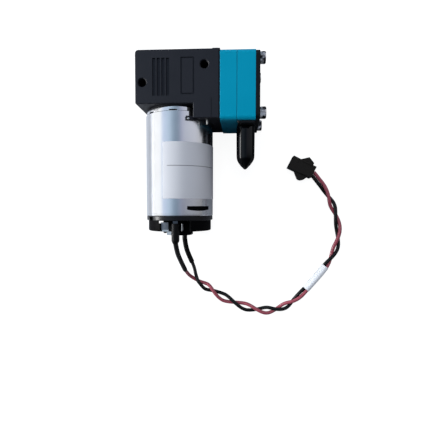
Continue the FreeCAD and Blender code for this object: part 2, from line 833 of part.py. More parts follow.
def hose_connector(side):
    """Barbed hose connector, its shank pressed into the head plate."""
    z = axis_z + side * port_offset
    root_y = head_bottom_y
    tube = drum(tube_diameter / 2, root_y - barb_length, root_y, port_x, z)
    tube = tube.fuse(drum(connector_shank_diameter / 2, root_y, root_y + connector_shank_length, port_x, z))
    for i in range(barb_count):
        tip_y = root_y - barb_length + i * barb_pitch
        tip = vec(port_x, tip_y, z)
        barb = Part.makeCone(tube_diameter / 2, barb_diameter / 2, barb_pitch * barb_slope_share, tip, Y_AXIS)
        tube = tube.fuse(barb)
    return tube.cut(drum(bore_diameter / 2, root_y - barb_length, root_y + connector_shank_length, port_x, z))


def head_plate():
    body = head_block(plate_x, outer_plate_x)
    cuts = [flap_room(-1, plate_x, plate_x + valve_recess_depth)]
    for side in (-1, 1):
        z = axis_z + side * port_offset
        shank_end = head_bottom_y + connector_shank_length
        cuts.append(drum(connector_shank_diameter / 2, head_bottom_y, shank_end, port_x, z))
        cuts.append(drum(bore_diameter / 2, shank_end, channel_diameter / 2, port_x, z))
        cuts.append(barrel(channel_diameter / 2, plate_x, port_x, 0, z))
    return body.cut(cuts)


def pressure_plate():
    body = block(outer_plate_x, screw_face_x, head_bottom_y, head_top_y, 0, depth)
    body = body.makeFillet(plate_corner, lines_along(body, X_AXIS))
    body = body.makeFillet(plate_rim_radius, rims_at(body, X_AXIS, screw_face_x))
    holes = [barrel(screw_hole_diameter / 2, outer_plate_x, screw_face_x, y, z) for y, z in screw_places()]
    return body.cut(holes)


def hexagon(across_flats, x0, x1, y, z):
    corner = across_flats / 2 / math.cos(math.radians(30))
    angles = [math.radians(60 * i) for i in range(6)]
    points = [vec(x0, y + corner * math.cos(a), z + corner * math.sin(a)) for a in angles]
    return face_of(points).extrude(vec(x1 - x0, 0, 0))


def head_screws():
    screws = []
    head_end = screw_face_x + screw_head_height
    for y, z in screw_places():
        shank = barrel(screw_diameter / 2, head_face_x - screw_grip, screw_face_x, y, z)
        head = barrel(screw_head_diameter / 2, screw_face_x, head_end, y, z)
        head = head.makeFillet(screw_head_rounding, rims_at(head, X_AXIS, head_end))
        socket = hexagon(socket_width, head_end - socket_depth, head_end, y, z)
        screws.append(shank.fuse(head).cut(socket).removeSplitter())
    return Part.makeCompound(screws)


def vinyl_cap(side, standoff):
    """Pull-off cap with a bullet end, pushed over one hose connector."""
    z = axis_z + side * port_offset
    mouth_y = head_bottom_y - standoff
    tip_y = mouth_y - vinyl_length
    shoulder_y = tip_y + vinyl_taper
    radius = vinyl_diameter / 2
    inset = radius - vinyl_tip_radius
    bend = (inset ** 2 + vinyl_taper ** 2) / (2 * inset)
    half_turn = math.asin(vinyl_taper / bend) / 2
    start = vec(port_x + radius, shoulder_y, z)
    middle_x = port_x + radius - bend * (1 - math.cos(half_turn))
    middle = vec(middle_x, shoulder_y - bend * math.sin(half_turn), z)
    end = vec(port_x + vinyl_tip_radius, tip_y, z)
    lines = [Part.makeLine(vec(port_x, mouth_y, z), vec(port_x + radius, mouth_y, z)),
             Part.makeLine(vec(port_x + radius, mouth_y, z), start),
             Part.Arc(start, middle, end).toShape(),
             Part.makeLine(end, vec(port_x, tip_y, z)),
             Part.makeLine(vec(port_x, tip_y, z), vec(port_x, mouth_y, z))]
    body = Part.Face(Part.Wire(lines)).revolve(vec(port_x, 0, z), Y_AXIS, 360)
    return body.cut(drum(vinyl_bore / 2, mouth_y - vinyl_bore_depth, mouth_y, port_x, z))


# Leads and connector

def bent_path(points):
    """Straight runs joined by tangent arcs as large as the runs allow, and the radii."""
    points = [vec(*p) for p in points]
    edges, radii = [], []
    start = points[0]
    for before, corner, after in zip(points, points[1:], points[2:]):
        run_in, run_out = corner - before, after - corner
        turn = run_in.getAngle(run_out)
        reach = arc_share * min(run_in.Length, run_out.Length)
        radii.append(reach / math.tan(turn / 2))
        tangent_in = corner - run_in.normalize() * reach
        tangent_out = corner + run_out.normalize() * reach
        middle_way = (tangent_in + tangent_out) * 0.5 - corner
        to_arc = radii[-1] / math.cos(turn / 2) - radii[-1]
        middle = corner + middle_way.normalize() * to_arc
        edges.append(Part.makeLine(start, tangent_in))
        edges.append(Part.Arc(tangent_in, middle, tangent_out).toShape())
        start = tangent_out
    edges.append(Part.makeLine(start, points[-1]))
    return Part.Wire(edges), radii


def swept(path, diameter):
    """Round bar along a path."""
    first = path.Edges[0]
    start = first.FirstParameter
    circle = Part.Circle(first.valueAt(start), first.tangentAt(start), diameter / 2)
    return path.makePipeShell([Part.Wire(circle.toShape())], True, False)


def cord(name, points, diameter):
    """Round cord along chosen points; its volume and bends are printed for checking."""
    path, radii = bent_path(points)
    solid = swept(path, diameter)
    ideal = math.pi * diameter ** 2 / 4 * path.Length
    print(f"{name}: length {path.Length:.1f}, volume / ideal {solid.Volume / ideal:.4f}, "
          f"bend radii {', '.join(f'{r:.1f}' for r in radii)}")
    return solid


def shrink_sleeve(name, points, side):
    """Heat-shrink sleeve: a collar over the terminal tab, then a tube over the lead."""
    y1 = points[0][1]
    z = axis_z + side * terminal_radius
    body = cord(name, points, sleeve_diameter)
    tab_end = band_rear_y - terminal_length
    collar = drum(collar_diameter / 2, y1, tab_end + collar_overlap, points[0][0], z)
    return body.fuse(collar).cut(drum(collar_bore / 2, tab_end, tab_end + collar_overlap, points[0][0], z))


def marker_sleeve(pair):
    """Plain sleeve that follows the pair over one of its runs, cut square at both ends."""
    first, last = marker_run
    path = bent_path(pair_points[first - 1:last + 2])[0]
    run = vec(*pair_points[last]) - vec(*pair_points[first])
    middle = vec(*pair_points[first]) + run * 0.5
    way = run.normalize()
    zone = Part.makeCylinder(marker_diameter, marker_length, middle - way * (marker_length / 2), way)
    return swept(path, marker_diameter).common(zone).cut(pair)


def plug_frame(shape):
    """Turn a shape drawn along X from the nose into the connector's place."""
    shape.rotate(vec(0, 0, 0), Z_AXIS, plug_angle)
    shape.translate(vec(plug_nose[0], plug_nose[1], 0))
    return shape


def connector_housing():
    """Two-way plug housing with flared grips, an open mouth and a lead entry."""
    length = plug_outline[5][0]
    half = plug_outline[0][1]
    outline = face_of([vec(u, v, 0) for u, v in plug_outline])
    wings = outline.extrude(vec(0, 0, plug_wing_height))
    wings.translate(vec(0, 0, (plug_height - plug_wing_height) / 2))
    core = block(0, length, plug_outline[6][1], half, 0, plug_height)
    body = core.fuse(wings)
    inner = half - plug_mouth_wall
    mouth = block(0, plug_mouth_depth, -inner, inner, plug_mouth_wall, plug_height - plug_mouth_wall)
    entry_place = vec(length - lead_entry_depth, 0, plug_height / 2)
    cuts = [mouth, Part.makeCylinder(pair_diameter / 2, pin_length, entry_place, X_AXIS)]
    cuts += [contact(side, 0) for side in (-1, 1)]
    return plug_frame(body.cut(cuts))


def contact(side, reach):
    """Square contact in its slot, standing into the mouth by a reach, in the plug's own frame."""
    y, z = side * pin_pitch / 2, plug_height / 2
    half = pin_size / 2
    pin_end = plug_mouth_depth + pin_length
    return block(plug_mouth_depth - reach, pin_end, y - half, y + half, z - half, z + half)


def connector_contacts():
    return Part.makeCompound([plug_frame(contact(side, pin_reach)) for side in (-1, 1)])


def main():
    os.makedirs("parts", exist_ok=True)
    export("housing", housing())
    export("motor_cradle", motor_cradle())
    export("access_cover", access_cover())
    export("motor_can", motor_can())
    export("motor_screws", motor_screws())
    export("front_bush", bush(front_bush_top - bush_length, front_bush_top))
    export("rear_bush", bush(rear_bush_top - bush_length, rear_bush_top))
    export("magnets", magnets())
    export("end_cap", end_cap())
    export("terminals", Part.makeCompound(terminal_tabs()))
    export("label", label())
    carbon, arms = brush_parts()
    export("brushes", carbon)
    export("brush_arms", arms)
    export("shaft", shaft())
    export("rotor_core", rotor_core())
    export("windings", windings())
    export("commutator", commutator())
    export("shaft_spacers", shaft_spacers())
    export("eccentric", eccentric())
    inner, outer, balls = bearing()
    export("bearing_inner_ring", inner)
    export("bearing_outer_ring", outer)
    export("bearing_balls", balls)
    export("connecting_rod", connecting_rod())
    export("diaphragm", diaphragm())
    export("intermediate_plate", intermediate_plate())
    export("valve_sheet", valve_sheet())
    export("inlet_flap", valve_flap(1))
    export("outlet_flap", valve_flap(-1))
    export("head_plate", head_plate())
    export("hose_connectors", Part.makeCompound([hose_connector(side) for side in (-1, 1)]))
    export("pressure_plate", pressure_plate())
    export("head_screws", head_screws())
    export("port_cap_near", vinyl_cap(1, near_cap_standoff))
    export("port_cap_far", vinyl_cap(-1, far_cap_standoff))
    near_sleeve = shrink_sleeve("sleeve_near", near_sleeve_points, 1)
    far_sleeve = shrink_sleeve("sleeve_far", far_sleeve_points, -1)
    export("sleeve_near", near_sleeve)
    export("sleeve_far", far_sleeve)
    pair = cord("twisted_pair", pair_points, pair_diameter)
    red = cord("red_lead", red_lead_points, wire_diameter).cut([pair, near_sleeve])
    export("red_lead", red)
    export("black_lead", cord("black_lead", black_lead_points, wire_diameter).cut([pair, far_sleeve, red]))
    export("twisted_pair", pair)
    export("marker_sleeve", marker_sleeve(pair))
    export("connector_housing", connector_housing())
    export("connector_contacts", connector_contacts())


main()
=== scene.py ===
# %% [markdown]
# # A small diaphragm liquid pump
# The pump lies on one side, seen from nearly straight above. Its engineering model comes in as a
# fixed frame: every part is at its real size and place, in metres. This lesson dresses that frame.
# Some parts keep their engineering shape and only get a finish. Others get a new shape with softer
# edges and finer detail, which stands where the old one stood.

# %% Load the fixed frame
import math

import bmesh
import bpy
from mathutils import Matrix, Vector


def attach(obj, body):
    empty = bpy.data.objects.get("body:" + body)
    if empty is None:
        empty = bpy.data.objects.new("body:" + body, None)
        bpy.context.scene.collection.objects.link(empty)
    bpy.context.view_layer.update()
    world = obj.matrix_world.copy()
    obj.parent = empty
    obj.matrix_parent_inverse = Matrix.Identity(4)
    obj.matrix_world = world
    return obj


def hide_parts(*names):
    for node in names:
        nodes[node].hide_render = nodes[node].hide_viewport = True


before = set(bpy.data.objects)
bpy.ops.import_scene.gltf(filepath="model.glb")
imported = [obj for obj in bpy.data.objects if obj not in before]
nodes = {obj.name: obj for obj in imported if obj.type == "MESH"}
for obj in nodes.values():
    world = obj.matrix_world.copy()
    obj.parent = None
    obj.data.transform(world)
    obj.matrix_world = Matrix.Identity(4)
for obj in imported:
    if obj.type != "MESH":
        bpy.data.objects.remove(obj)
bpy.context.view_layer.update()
MM = 0.001
print("parts in the frame:", len(nodes))

# %% [markdown]
# ## Two small helpers
# Every shape below is drawn in millimetres, as on a pump's own drawings, and scaled to metres in
# one place. A finished piece is a mesh at the origin with its normals outwards, smooth across
# gentle bends and crisp across sharp ones. Moulded and bent edges are never knife sharp, so a
# second helper rounds them with a Bevel modifier, whose width is easy to change later.

# %% Turn a bmesh into a finished piece
def finished(name, bm, material, body, crisp=32, weld=0.0005):
    bmesh.ops.remove_doubles(bm, verts=bm.verts, dist=weld)
    bmesh.ops.recalc_face_normals(bm, faces=bm.faces)
    bmesh.ops.scale(bm, vec=(MM, MM, MM), verts=bm.verts)
    mesh = bpy.data.meshes.new(name)
    bm.to_mesh(mesh)
    bm.free()
    for face in mesh.polygons:
        face.use_smooth = True
    mesh.set_sharp_from_angle(angle=math.radians(crisp))
    mesh.materials.append(material)
    piece = bpy.data.objects.new(name, mesh)
    bpy.context.scene.collection.objects.link(piece)
    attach(piece, body)
    print(name, len(mesh.polygons), "faces")
    return piece


# %% Soften the sharp edges of a piece
SHARP = math.radians(40)


def soften(piece, width, segments=2):
    bevel = piece.modifiers.new("soft edges", "BEVEL")
    bevel.width = width * MM
    bevel.segments = segments
    bevel.limit_method = "ANGLE"
    bevel.angle_limit = SHARP
    bevel.harden_normals = True


# %% [markdown]
# ## Building blocks
# Nearly every piece of a pump is turned or moulded, so two shapes do most of the work: a profile
# spun about an axis, and a flat outline given a thickness. A spin is how a lathe works: one chain
# of points goes round the axis and closes on itself. A Screw modifier could do the same, but a
# spun mesh can be cut and joined straight away.

# %% Shapes that the pieces start from
AXIS_Z = 14.25
SHAFT = Vector((0, 0, AXIS_Z))
ALONG_X = Vector((1, 0, 0))
ALONG_Y = Vector((0, 1, 0))
ALONG_Z = Vector((0, 0, 1))


def chain(bm, points, closed=False):
    """Points joined one by one, and back to the first where the chain is closed."""
    verts = [bm.verts.new(p) for p in points]
    pairs = list(zip(verts, verts[1:])) + ([(verts[-1], verts[0])] if closed else [])
    return verts + [bm.edges.new(pair) for pair in pairs]


def turned(bm, profile, centre=SHAFT, axis=ALONG_Y, steps=96, closed=True):
    """Spin a profile of (radius, place along the axis) right round the axis."""
    side = ALONG_X if axis.z else ALONG_Z
    made = chain(bm, [centre + axis * along + side * radius for radius, along in profile], closed)
    bmesh.ops.spin(bm, geom=made, cent=centre, axis=axis, angle=math.tau, steps=steps, use_merge=True)


def arc(centre, radius, start, end, count):
    """Points of a rounding in a profile, angles in degrees."""
    angles = [math.radians(start + (end - start) * i / count) for i in range(count + 1)]
    return [(centre[0] + radius * math.cos(a), centre[1] + radius * math.sin(a)) for a in angles]


def extruded(bm, outline, offset):
    """A flat outline of points given a thickness."""
    face = bm.faces.new([bm.verts.new(p) for p in outline])
    made = bmesh.ops.extrude_face_region(bm, geom=[face])["geom"]
    moved = [item for item in made if isinstance(item, bmesh.types.BMVert)]
    bmesh.ops.translate(bm, vec=offset, verts=moved)


# %% [markdown]
# ## Finishes
# Each finish is a small chain of nodes: a noise for uneven colour, a finer one for the grain of
# the mould or the rolling marks of the sheet, and a bump from it. Patterns read Object
# coordinates in metres, so a scale of 4000 gives grains of a quarter of a millimetre. Image
# textures would need a flat map of every piece, and would blur in a close view.

# %% Start a material
def new_material(name):
    material = bpy.data.materials.new(name)
    material.use_nodes = True
    tree = material.node_tree
    return material, tree, tree.nodes["Principled BSDF"]


def node(tree, kind, **settings):
    """A new node with values for its sockets or settings."""
    made = tree.nodes.new(kind)
    for key, value in settings.items():
        if key in made.inputs:
            made.inputs[key].default_value = value
        else:
            setattr(made, key, value)
    return made


def object_space(tree, stretch=(1, 1, 1)):
    place = node(tree, "ShaderNodeTexCoord")
    mapping = node(tree, "ShaderNodeMapping", Scale=stretch)
    tree.links.new(place.outputs["Object"], mapping.inputs["Vector"])
    return mapping.outputs["Vector"]


# %% Numbers in a finish
def noise(tree, vector, scale, detail=3.0):
    made = node(tree, "ShaderNodeTexNoise", Scale=scale, Detail=detail)
    tree.links.new(vector, made.inputs["Vector"])
    return made.outputs["Fac"]


def between(tree, value, low, high, from_low=0.3, from_high=0.7, course="LINEAR"):
    """Take a value from one range to another, on a straight or a smooth course."""
    made = node(tree, "ShaderNodeMapRange", interpolation_type=course)
    ends = {"From Min": from_low, "From Max": from_high, "To Min": low, "To Max": high}
    for key, number in ends.items():
        made.inputs[key].default_value = number
    tree.links.new(value, made.inputs["Value"])
    return made.outputs["Result"]


def math_node(tree, operation, first, second=0.0):
    made = node(tree, "ShaderNodeMath", operation=operation)
    for socket, value in zip(made.inputs, (first, second)):
        if isinstance(value, (int, float)):
            socket.default_value = value
        else:
            tree.links.new(value, socket)
    return made.outputs["Value"]


# %% Colour and relief in a finish
def blend_colours(tree, factor, first, second):
    ramp = node(tree, "ShaderNodeValToRGB")
    ramp.color_ramp.elements[0].color = (*first, 1)
    ramp.color_ramp.elements[1].color = (*second, 1)
    tree.links.new(factor, ramp.inputs["Fac"])
    return ramp.outputs["Color"]


def bump(tree, shader, height, strength, distance):
    made = node(tree, "ShaderNodeBump", Strength=strength, Distance=distance)
    tree.links.new(height, made.inputs["Height"])
    tree.links.new(made.outputs["Normal"], shader.inputs["Normal"])


# %% [markdown]
# ### Moulded plastic
# A mould for a technical part is spark eroded, which leaves a fine even grain, so the plastic
# looks matte from far and sparkles a little up close. One flat colour with one gloss would look
# like paint. The colour here is nearly flat too, but the grain's bump and a slow change of gloss
# make it read as plastic, and one recipe serves rubber, sleeves and leads as well.

# %% Plastic
SLOW_CHANGE = 90.0
GRAIN_HEIGHT = 0.00004


def plastic(name, colour, shade=0.82, gloss=(0.45, 0.6), grain=5200.0, depth=0.25, shine=0.5, tint=None):
    material, tree, shader = new_material(name)
    shader.inputs["Specular IOR Level"].default_value = shine
    if tint:
        shader.inputs["Specular Tint"].default_value = (*tint, 1)
    space = object_space(tree)
    slow = noise(tree, space, SLOW_CHANGE, 2.0)
    darker = tuple(c * shade for c in colour)
    uneven = blend_colours(tree, between(tree, slow, 0, 1), darker, colour)
    tree.links.new(uneven, shader.inputs["Base Color"])
    tree.links.new(between(tree, slow, *gloss), shader.inputs["Roughness"])
    bump(tree, shader, noise(tree, space, grain, 2.0), depth, GRAIN_HEIGHT)
    return material


# %% Plastic finishes
housing_plastic = plastic("housing plastic", (0.0058, 0.0072, 0.0128), gloss=(0.5, 0.6), depth=0.5,
                          shine=0.36)
teal_plastic = plastic("teal head plastic", (0.0, 0.26, 0.408), shade=0.96, gloss=(0.4, 0.5), depth=0.3,
                       tint=(0.1, 0.7, 1.0))
plate_black = plastic("pressure plate black", (0.003, 0.0045, 0.006), depth=0.4, shine=0.2)
cap_black = plastic("end cap black", (0.003, 0.003, 0.004), gloss=(0.22, 0.3), depth=0.12, shine=0.3)
skirt_black = plastic("end cap matte black", (0.002, 0.002, 0.0025), gloss=(0.5, 0.62), depth=0.3,
                      shine=0.03)
plug_black = plastic("plug black", (0.006, 0.005, 0.0045), gloss=(0.38, 0.5), depth=0.3, shine=0.33,
                     tint=(1.0, 0.9, 0.75))
vinyl_black = plastic("soft vinyl black", (0.001, 0.001, 0.0015), gloss=(0.06, 0.1), grain=900.0,
                      depth=0.03, shine=0.24)
sleeve_black = plastic("shrink sleeve black", (0.003, 0.003, 0.003), gloss=(0.38, 0.5), grain=2600.0,
                       depth=0.2, shine=0.14)
sleeve_white = plastic("marker sleeve white", (0.86, 0.88, 0.9), shade=0.98, gloss=(0.45, 0.5),
                       grain=900.0, depth=0.02)
label_film = plastic("film label", (0.60, 0.61, 0.64), shade=0.97, gloss=(0.35, 0.45), depth=0.05)
wire_red = plastic("lead dusky red", (0.34, 0.065, 0.09), shade=0.8, gloss=(0.25, 0.32), grain=1500.0,
                   depth=0.05, shine=0.6)
wire_black = plastic("lead black", (0.003, 0.003, 0.003), gloss=(0.3, 0.42), grain=1500.0, depth=0.1,
                     shine=0.3)
rod_plastic = plastic("rod natural plastic", (0.7, 0.69, 0.64), gloss=(0.4, 0.5))
soft_rubber = plastic("soft rubber", (0.02, 0.02, 0.02), gloss=(0.6, 0.75), depth=0.4)
carbon = plastic("pressed carbon", (0.03, 0.03, 0.03), gloss=(0.5, 0.7), depth=0.5)
ferrite = plastic("sintered ferrite", (0.05, 0.05, 0.055), gloss=(0.5, 0.7), depth=0.5)
print("plastic finishes:", len(bpy.data.materials))

# %% [markdown]
# ### Metals
# The can is drawn from zinc-plated sheet. It mirrors the room softly, with faint spangle and a
# few handling marks along its length. A plain mirror would look like chrome, so the spangle also
# changes the gloss. The same recipe, with other numbers, gives the turned screws, the shaft and
# the bronze bushes.

# %% Metal
SHEET_LINES = 1400.0
LINE_HEIGHT = 0.00001


def metal(name, colour, gloss=(0.2, 0.3), stretch=(1, 1, 1), depth=0.15, patches=160.0, shade=0.93,
          spread=(0.3, 0.7)):
    material, tree, shader = new_material(name)
    shader.inputs["Metallic"].default_value = 1.0
    spangle = noise(tree, object_space(tree), patches)
    lines = noise(tree, object_space(tree, stretch), SHEET_LINES)
    darker = tuple(c * shade for c in colour)
    patchy = between(tree, spangle, 0, 1, *spread)
    tree.links.new(blend_colours(tree, patchy, darker, colour), shader.inputs["Base Color"])
    tree.links.new(between(tree, spangle, *gloss), shader.inputs["Roughness"])
    bump(tree, shader, lines, depth, LINE_HEIGHT)
    return material


# %% Metal finishes
can_zinc = metal("zinc-plated can", (0.83, 0.84, 0.86), gloss=(0.19, 0.26), stretch=(1, 0.12, 1),
                 depth=0.18)
screw_steel = metal("worn screw steel", (0.9, 0.88, 0.85), gloss=(0.12, 0.3), patches=420.0, shade=0.05,
                    spread=(0.42, 0.54))
shaft_steel = metal("ground shaft steel", (0.60, 0.60, 0.61), gloss=(0.15, 0.22))
bearing_steel = metal("polished bearing steel", (0.66, 0.66, 0.67), gloss=(0.08, 0.12))
core_steel = metal("stacked core sheet", (0.30, 0.31, 0.32), gloss=(0.4, 0.5), stretch=(0.1, 9, 0.1))
bronze = metal("sintered bronze", (0.55, 0.36, 0.16), gloss=(0.35, 0.5))
copper = metal("enamelled copper", (0.62, 0.22, 0.09), stretch=(1, 6, 1), depth=0.5)
brass = metal("turned brass", (0.60, 0.47, 0.22), stretch=(1, 8, 1))
tin = metal("tin-plated sheet", (0.66, 0.66, 0.65), gloss=(0.25, 0.35))
dull_tin = metal("dull tin-plated sheet", (0.27, 0.28, 0.3), gloss=(0.38, 0.5))
tarnished_tin = metal("tarnished tin tabs", (0.13, 0.14, 0.16), gloss=(0.35, 0.45))
print("finishes with the metals:", len(bpy.data.materials))

# %% [markdown]
# ### Lines and shaded places
# Some finishes change with the place. Hardly any light gets into the can, into its crimps or
# into the closed corner beside its nose, so shade is painted into its zinc there; in that corner
# the painted shade also stands for the cradle's dark wall mirrored in the can. Dirt darkens the
# joint between the two teal plates, and one fine rule crosses the film label. Faces with materials
# of their own could do this too, but a finish that reads the place leaves each skin in one piece.
# The polished can stands close to the head, so the teal is painted darker in its mirror image, a
# painted shade in the reflection.

# %% Read a place and dim a finish
def parted(tree):
    """The object's X, Y and Z, as outputs in metres."""
    split = node(tree, "ShaderNodeSeparateXYZ")
    tree.links.new(object_space(tree), split.inputs["Vector"])
    return split.outputs


def from_shaft(tree, at):
    """Distance from the shaft's axis, in metres."""
    across = node(tree, "ShaderNodeCombineXYZ")
    tree.links.new(at["X"], across.inputs["X"])
    tree.links.new(math_node(tree, "SUBTRACT", at["Z"], AXIS_Z * MM), across.inputs["Z"])
    length = node(tree, "ShaderNodeVectorMath", operation="LENGTH")
    tree.links.new(across.outputs["Vector"], length.inputs[0])
    return length.outputs["Value"]


def above(tree, value, place):
    """1 beyond a place in millimetres, and 0 before it."""
    return math_node(tree, "GREATER_THAN", value, place * MM)


def within(tree, value, low, high):
    """1 between two places in millimetres, and 0 elsewhere."""
    below = math_node(tree, "LESS_THAN", value, high * MM)
    return math_node(tree, "MULTIPLY", above(tree, value, low), below)


def dimmed(material, share):
    """Multiply a finish's colour by a share."""
    tree = material.node_tree
    colour = tree.nodes["Principled BSDF"].inputs["Base Color"]
    scaled = node(tree, "ShaderNodeVectorMath", operation="SCALE")
    tree.links.new(colour.links[0].from_socket, scaled.inputs["Vector"])
    tree.links.new(share, scaled.inputs["Scale"])
    tree.links.new(scaled.outputs["Vector"], colour)


# %% Painted shade on the can
OUTER_SKIN = 13.45
NOSE_EDGE = -8.0
SHADE_PAINTED_CORNER = (((4.95, 7.6), (-9.8, -7.7)), ((5.65, 7.6), (-12.4, -9.8)))
tree = can_zinc.node_tree
at = parted(tree)
# Painted shade: inside the can and in its crimps, away from the outer skin and behind the nose, the zinc
# is painted black and loses its metal.
skin = above(tree, from_shaft(tree, at), OUTER_SKIN)
lit = math_node(tree, "MAXIMUM", skin, above(tree, at["Y"], NOSE_EDGE))
upper = above(tree, at["Z"], AXIS_Z)
# Painted shade, with a painted reflection of the cradle's dark wall, on the upper can in the closed
# corner beside the nose.
for x_range, y_range in SHADE_PAINTED_CORNER:
    patch = math_node(tree, "MULTIPLY", within(tree, at["X"], *x_range), within(tree, at["Y"], *y_range))
    lit = math_node(tree, "SUBTRACT", lit, math_node(tree, "MULTIPLY", patch, upper))
dimmed(can_zinc, lit)
tree.links.new(lit, tree.nodes["Principled BSDF"].inputs["Metallic"])
print("dark places of the can:", 1 + len(SHADE_PAINTED_CORNER))

# %% Lines on the teal plates and the label
PLATE_JOINT = (24.18, 24.4)
LINE_SHARE = 0.25
PAINTED_MIRROR_SHADE = 0.3
tree = teal_plastic.node_tree
joint = within(tree, parted(tree)["X"], *PLATE_JOINT)
dimmed(teal_plastic, between(tree, joint, 1.0, LINE_SHARE, 0, 1))
# Painted shade in reflections: the teal's colour is dimmed for mirror rays, so the can mirrors a darker
# head than the lamps alone would give.
light_path = node(tree, "ShaderNodeLightPath")
dimmed(teal_plastic, between(tree, light_path.outputs["Is Glossy Ray"], 1.0, PAINTED_MIRROR_SHADE, 0, 1))

RULE_X, RULE_Y = (-2.8, 14.0), (-31.1, -30.85)
tree = label_film.node_tree
at = parted(tree)
rule = math_node(tree, "MULTIPLY", within(tree, at["Y"], *RULE_Y), within(tree, at["X"], *RULE_X))
dimmed(label_film, between(tree, rule, 1.0, LINE_SHARE, 0, 1))
print("rule on the label:", round(RULE_Y[1] - RULE_Y[0], 2), "mm wide")

# %% [markdown]
# ## Finishes for the parts that keep their shape
# Parts inside the pump show only when someone opens it, yet each has its true finish. Remodelling
# them would gain nothing, because their engineering shapes are already exact.

# %% Give each engineering part its finish
FINISHES = {
    housing_plastic: ["housing", "motor_cradle", "access_cover"],
    teal_plastic: ["intermediate_plate", "head_plate", "hose_connectors"],
    plate_black: ["pressure_plate"],
    cap_black: ["end_cap"],
    plug_black: ["connector_housing"],
    vinyl_black: ["port_cap_near", "port_cap_far"],
    sleeve_black: ["sleeve_near", "sleeve_far"],
    sleeve_white: ["marker_sleeve"],
    label_film: ["label"],
    wire_red: ["red_lead"],
    wire_black: ["black_lead", "twisted_pair"],
    rod_plastic: ["connecting_rod"],
    soft_rubber: ["diaphragm", "valve_sheet", "inlet_flap", "outlet_flap"],
    carbon: ["brushes"],
    ferrite: ["magnets"],
    can_zinc: ["motor_can"],
    screw_steel: ["head_screws", "motor_screws"],
    shaft_steel: ["shaft"],
    bearing_steel: ["bearing_inner_ring", "bearing_outer_ring", "bearing_balls"],
    core_steel: ["rotor_core"],
    bronze: ["front_bush", "rear_bush", "shaft_spacers"],
    copper: ["windings", "commutator"],
    brass: ["eccentric"],
    tin: ["brush_arms", "connector_contacts"],
    tarnished_tin: ["terminals"],
}
for finish, names in FINISHES.items():
    for name in names:
        mesh = nodes[name].data
        mesh.materials.clear()
        mesh.materials.append(finish)
print("parts with a finish:", sum(len(names) for names in FINISHES.values()))

# %% [markdown]
# ## The motor's can
# The real can is deep drawn from zinc-plated sheet: a tube with a front face, a stepped nose, a
# collar for the front bearing and a slightly rolled rear rim. One profile of the wall goes round
# the shaft's axis, so outside and inside are one closed skin. Openings are then cut through both
# walls: the two vents near the rear and the dashes where the sheet is crimped behind the nose.
# Boolean cuts could do that as well, but deleting faces and bridging the rims keeps clean quads.

# %% Angles and openings in a spun shell
SPIN_STEPS = 384
STEP = 360 / SPIN_STEPS


def angle_of(point):
    """Degrees round the shaft, from straight up towards the pump head."""
    return math.degrees(math.atan2(point.x - SHAFT.x, point.z - SHAFT.z)) % 360


def shell_faces(bm, low, high, start, end):
    """Faces of a shell between two places along the shaft and two angles round it."""
    found = []
    for face in bm.faces:
        middle = face.calc_center_median()
        if low < middle.y < high and (angle_of(middle) - start) % 360 < end - start:
            found.append(face)
    return found


def opened(bm, low, high, start, end):
    """Cut through both walls of a shell and join the two rims."""
    gone = shell_faces(bm, low, high, start, end)
    inside = set(gone)
    rim = [e for f in gone for e in f.edges if any(other not in inside for other in e.link_faces)]
    bmesh.ops.delete(bm, geom=gone, context="FACES")
    bmesh.ops.bridge_loops(bm, edges=list(set(rim)))


# %% Wall of the can
CAN_RADIUS, CAN_BORE, CRIMP_RADIUS = 14.0, 13.2, 13.6
CAN_FRONT, CAN_REAR = -7.6, -50.8
NOSE_REAR, COLLAR_REAR = -8.6, -10.8
VENT = (-48.2, -46.8)
CRIMP = (-9.7, -9.2)
outside = [(13.75, CAN_REAR), (13.93, CAN_REAR + 0.07), (CAN_RADIUS, CAN_REAR + 0.25),
           (CAN_RADIUS, -49.98), (13.93, -49.9), (CAN_RADIUS, -49.82), (CAN_RADIUS, -48.8),
           (CAN_RADIUS, VENT[0]), (CAN_RADIUS, VENT[1]), (CAN_RADIUS, -45.6), (CAN_RADIUS, -10.4),
           (CAN_RADIUS, -9.95), (13.93, -9.84), (13.8, -9.8), (13.65, -9.77),
           (CRIMP_RADIUS, CRIMP[0]), (CRIMP_RADIUS, CRIMP[1]), (CRIMP_RADIUS, NOSE_REAR)]
nose = arc((12.7, -8.5), 0.9, 5, 90, 8)
collar = [(4.4, CAN_FRONT), (4.2, -7.4), (4.2, -5.75), (4.05, -5.6), (3.15, -5.6), (3.0, -5.75),
          (3.0, COLLAR_REAR), (4.2, COLLAR_REAR), (4.2, NOSE_REAR)]
inside = [(12.9, NOSE_REAR), (CAN_BORE, -8.9), (CAN_BORE, CRIMP[1]), (CAN_BORE, CRIMP[0]),
          (CAN_BORE, -10.4), (CAN_BORE, -45.6), (CAN_BORE, VENT[1]), (CAN_BORE, VENT[0]),
          (CAN_BORE, -48.8), (CAN_BORE, CAN_REAR + 0.15), (13.35, CAN_REAR)]
bm = bmesh.new()
turned(bm, outside + nose + collar + inside, steps=SPIN_STEPS)
print("can before its openings:", len(bm.faces), "faces")

# %% Vents and crimps
VENT_FROM, VENT_WIDTH, VENT_BOW = 22 * STEP, 48 * STEP, 0.5
CRIMPS, CRIMP_FROM, CRIMP_WIDTH = 8, -9 * STEP, 14 * STEP
for turn in (0, 180):
    start = VENT_FROM + turn
    opened(bm, *VENT, start, start + VENT_WIDTH)
    for vert in bm.verts:
        if abs(vert.co.y - VENT[0]) < 0.01:
            share = ((angle_of(vert.co) - start) % 360) / VENT_WIDTH
            if share <= 1.001:
                vert.co.y -= VENT_BOW * (1 - (2 * share - 1) ** 2)
for i in range(CRIMPS):
    start = i * 360 / CRIMPS + CRIMP_FROM
    opened(bm, *CRIMP, start, start + CRIMP_WIDTH)
can = finished("can", bm, can_zinc, "pump_body")
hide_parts("motor_can")

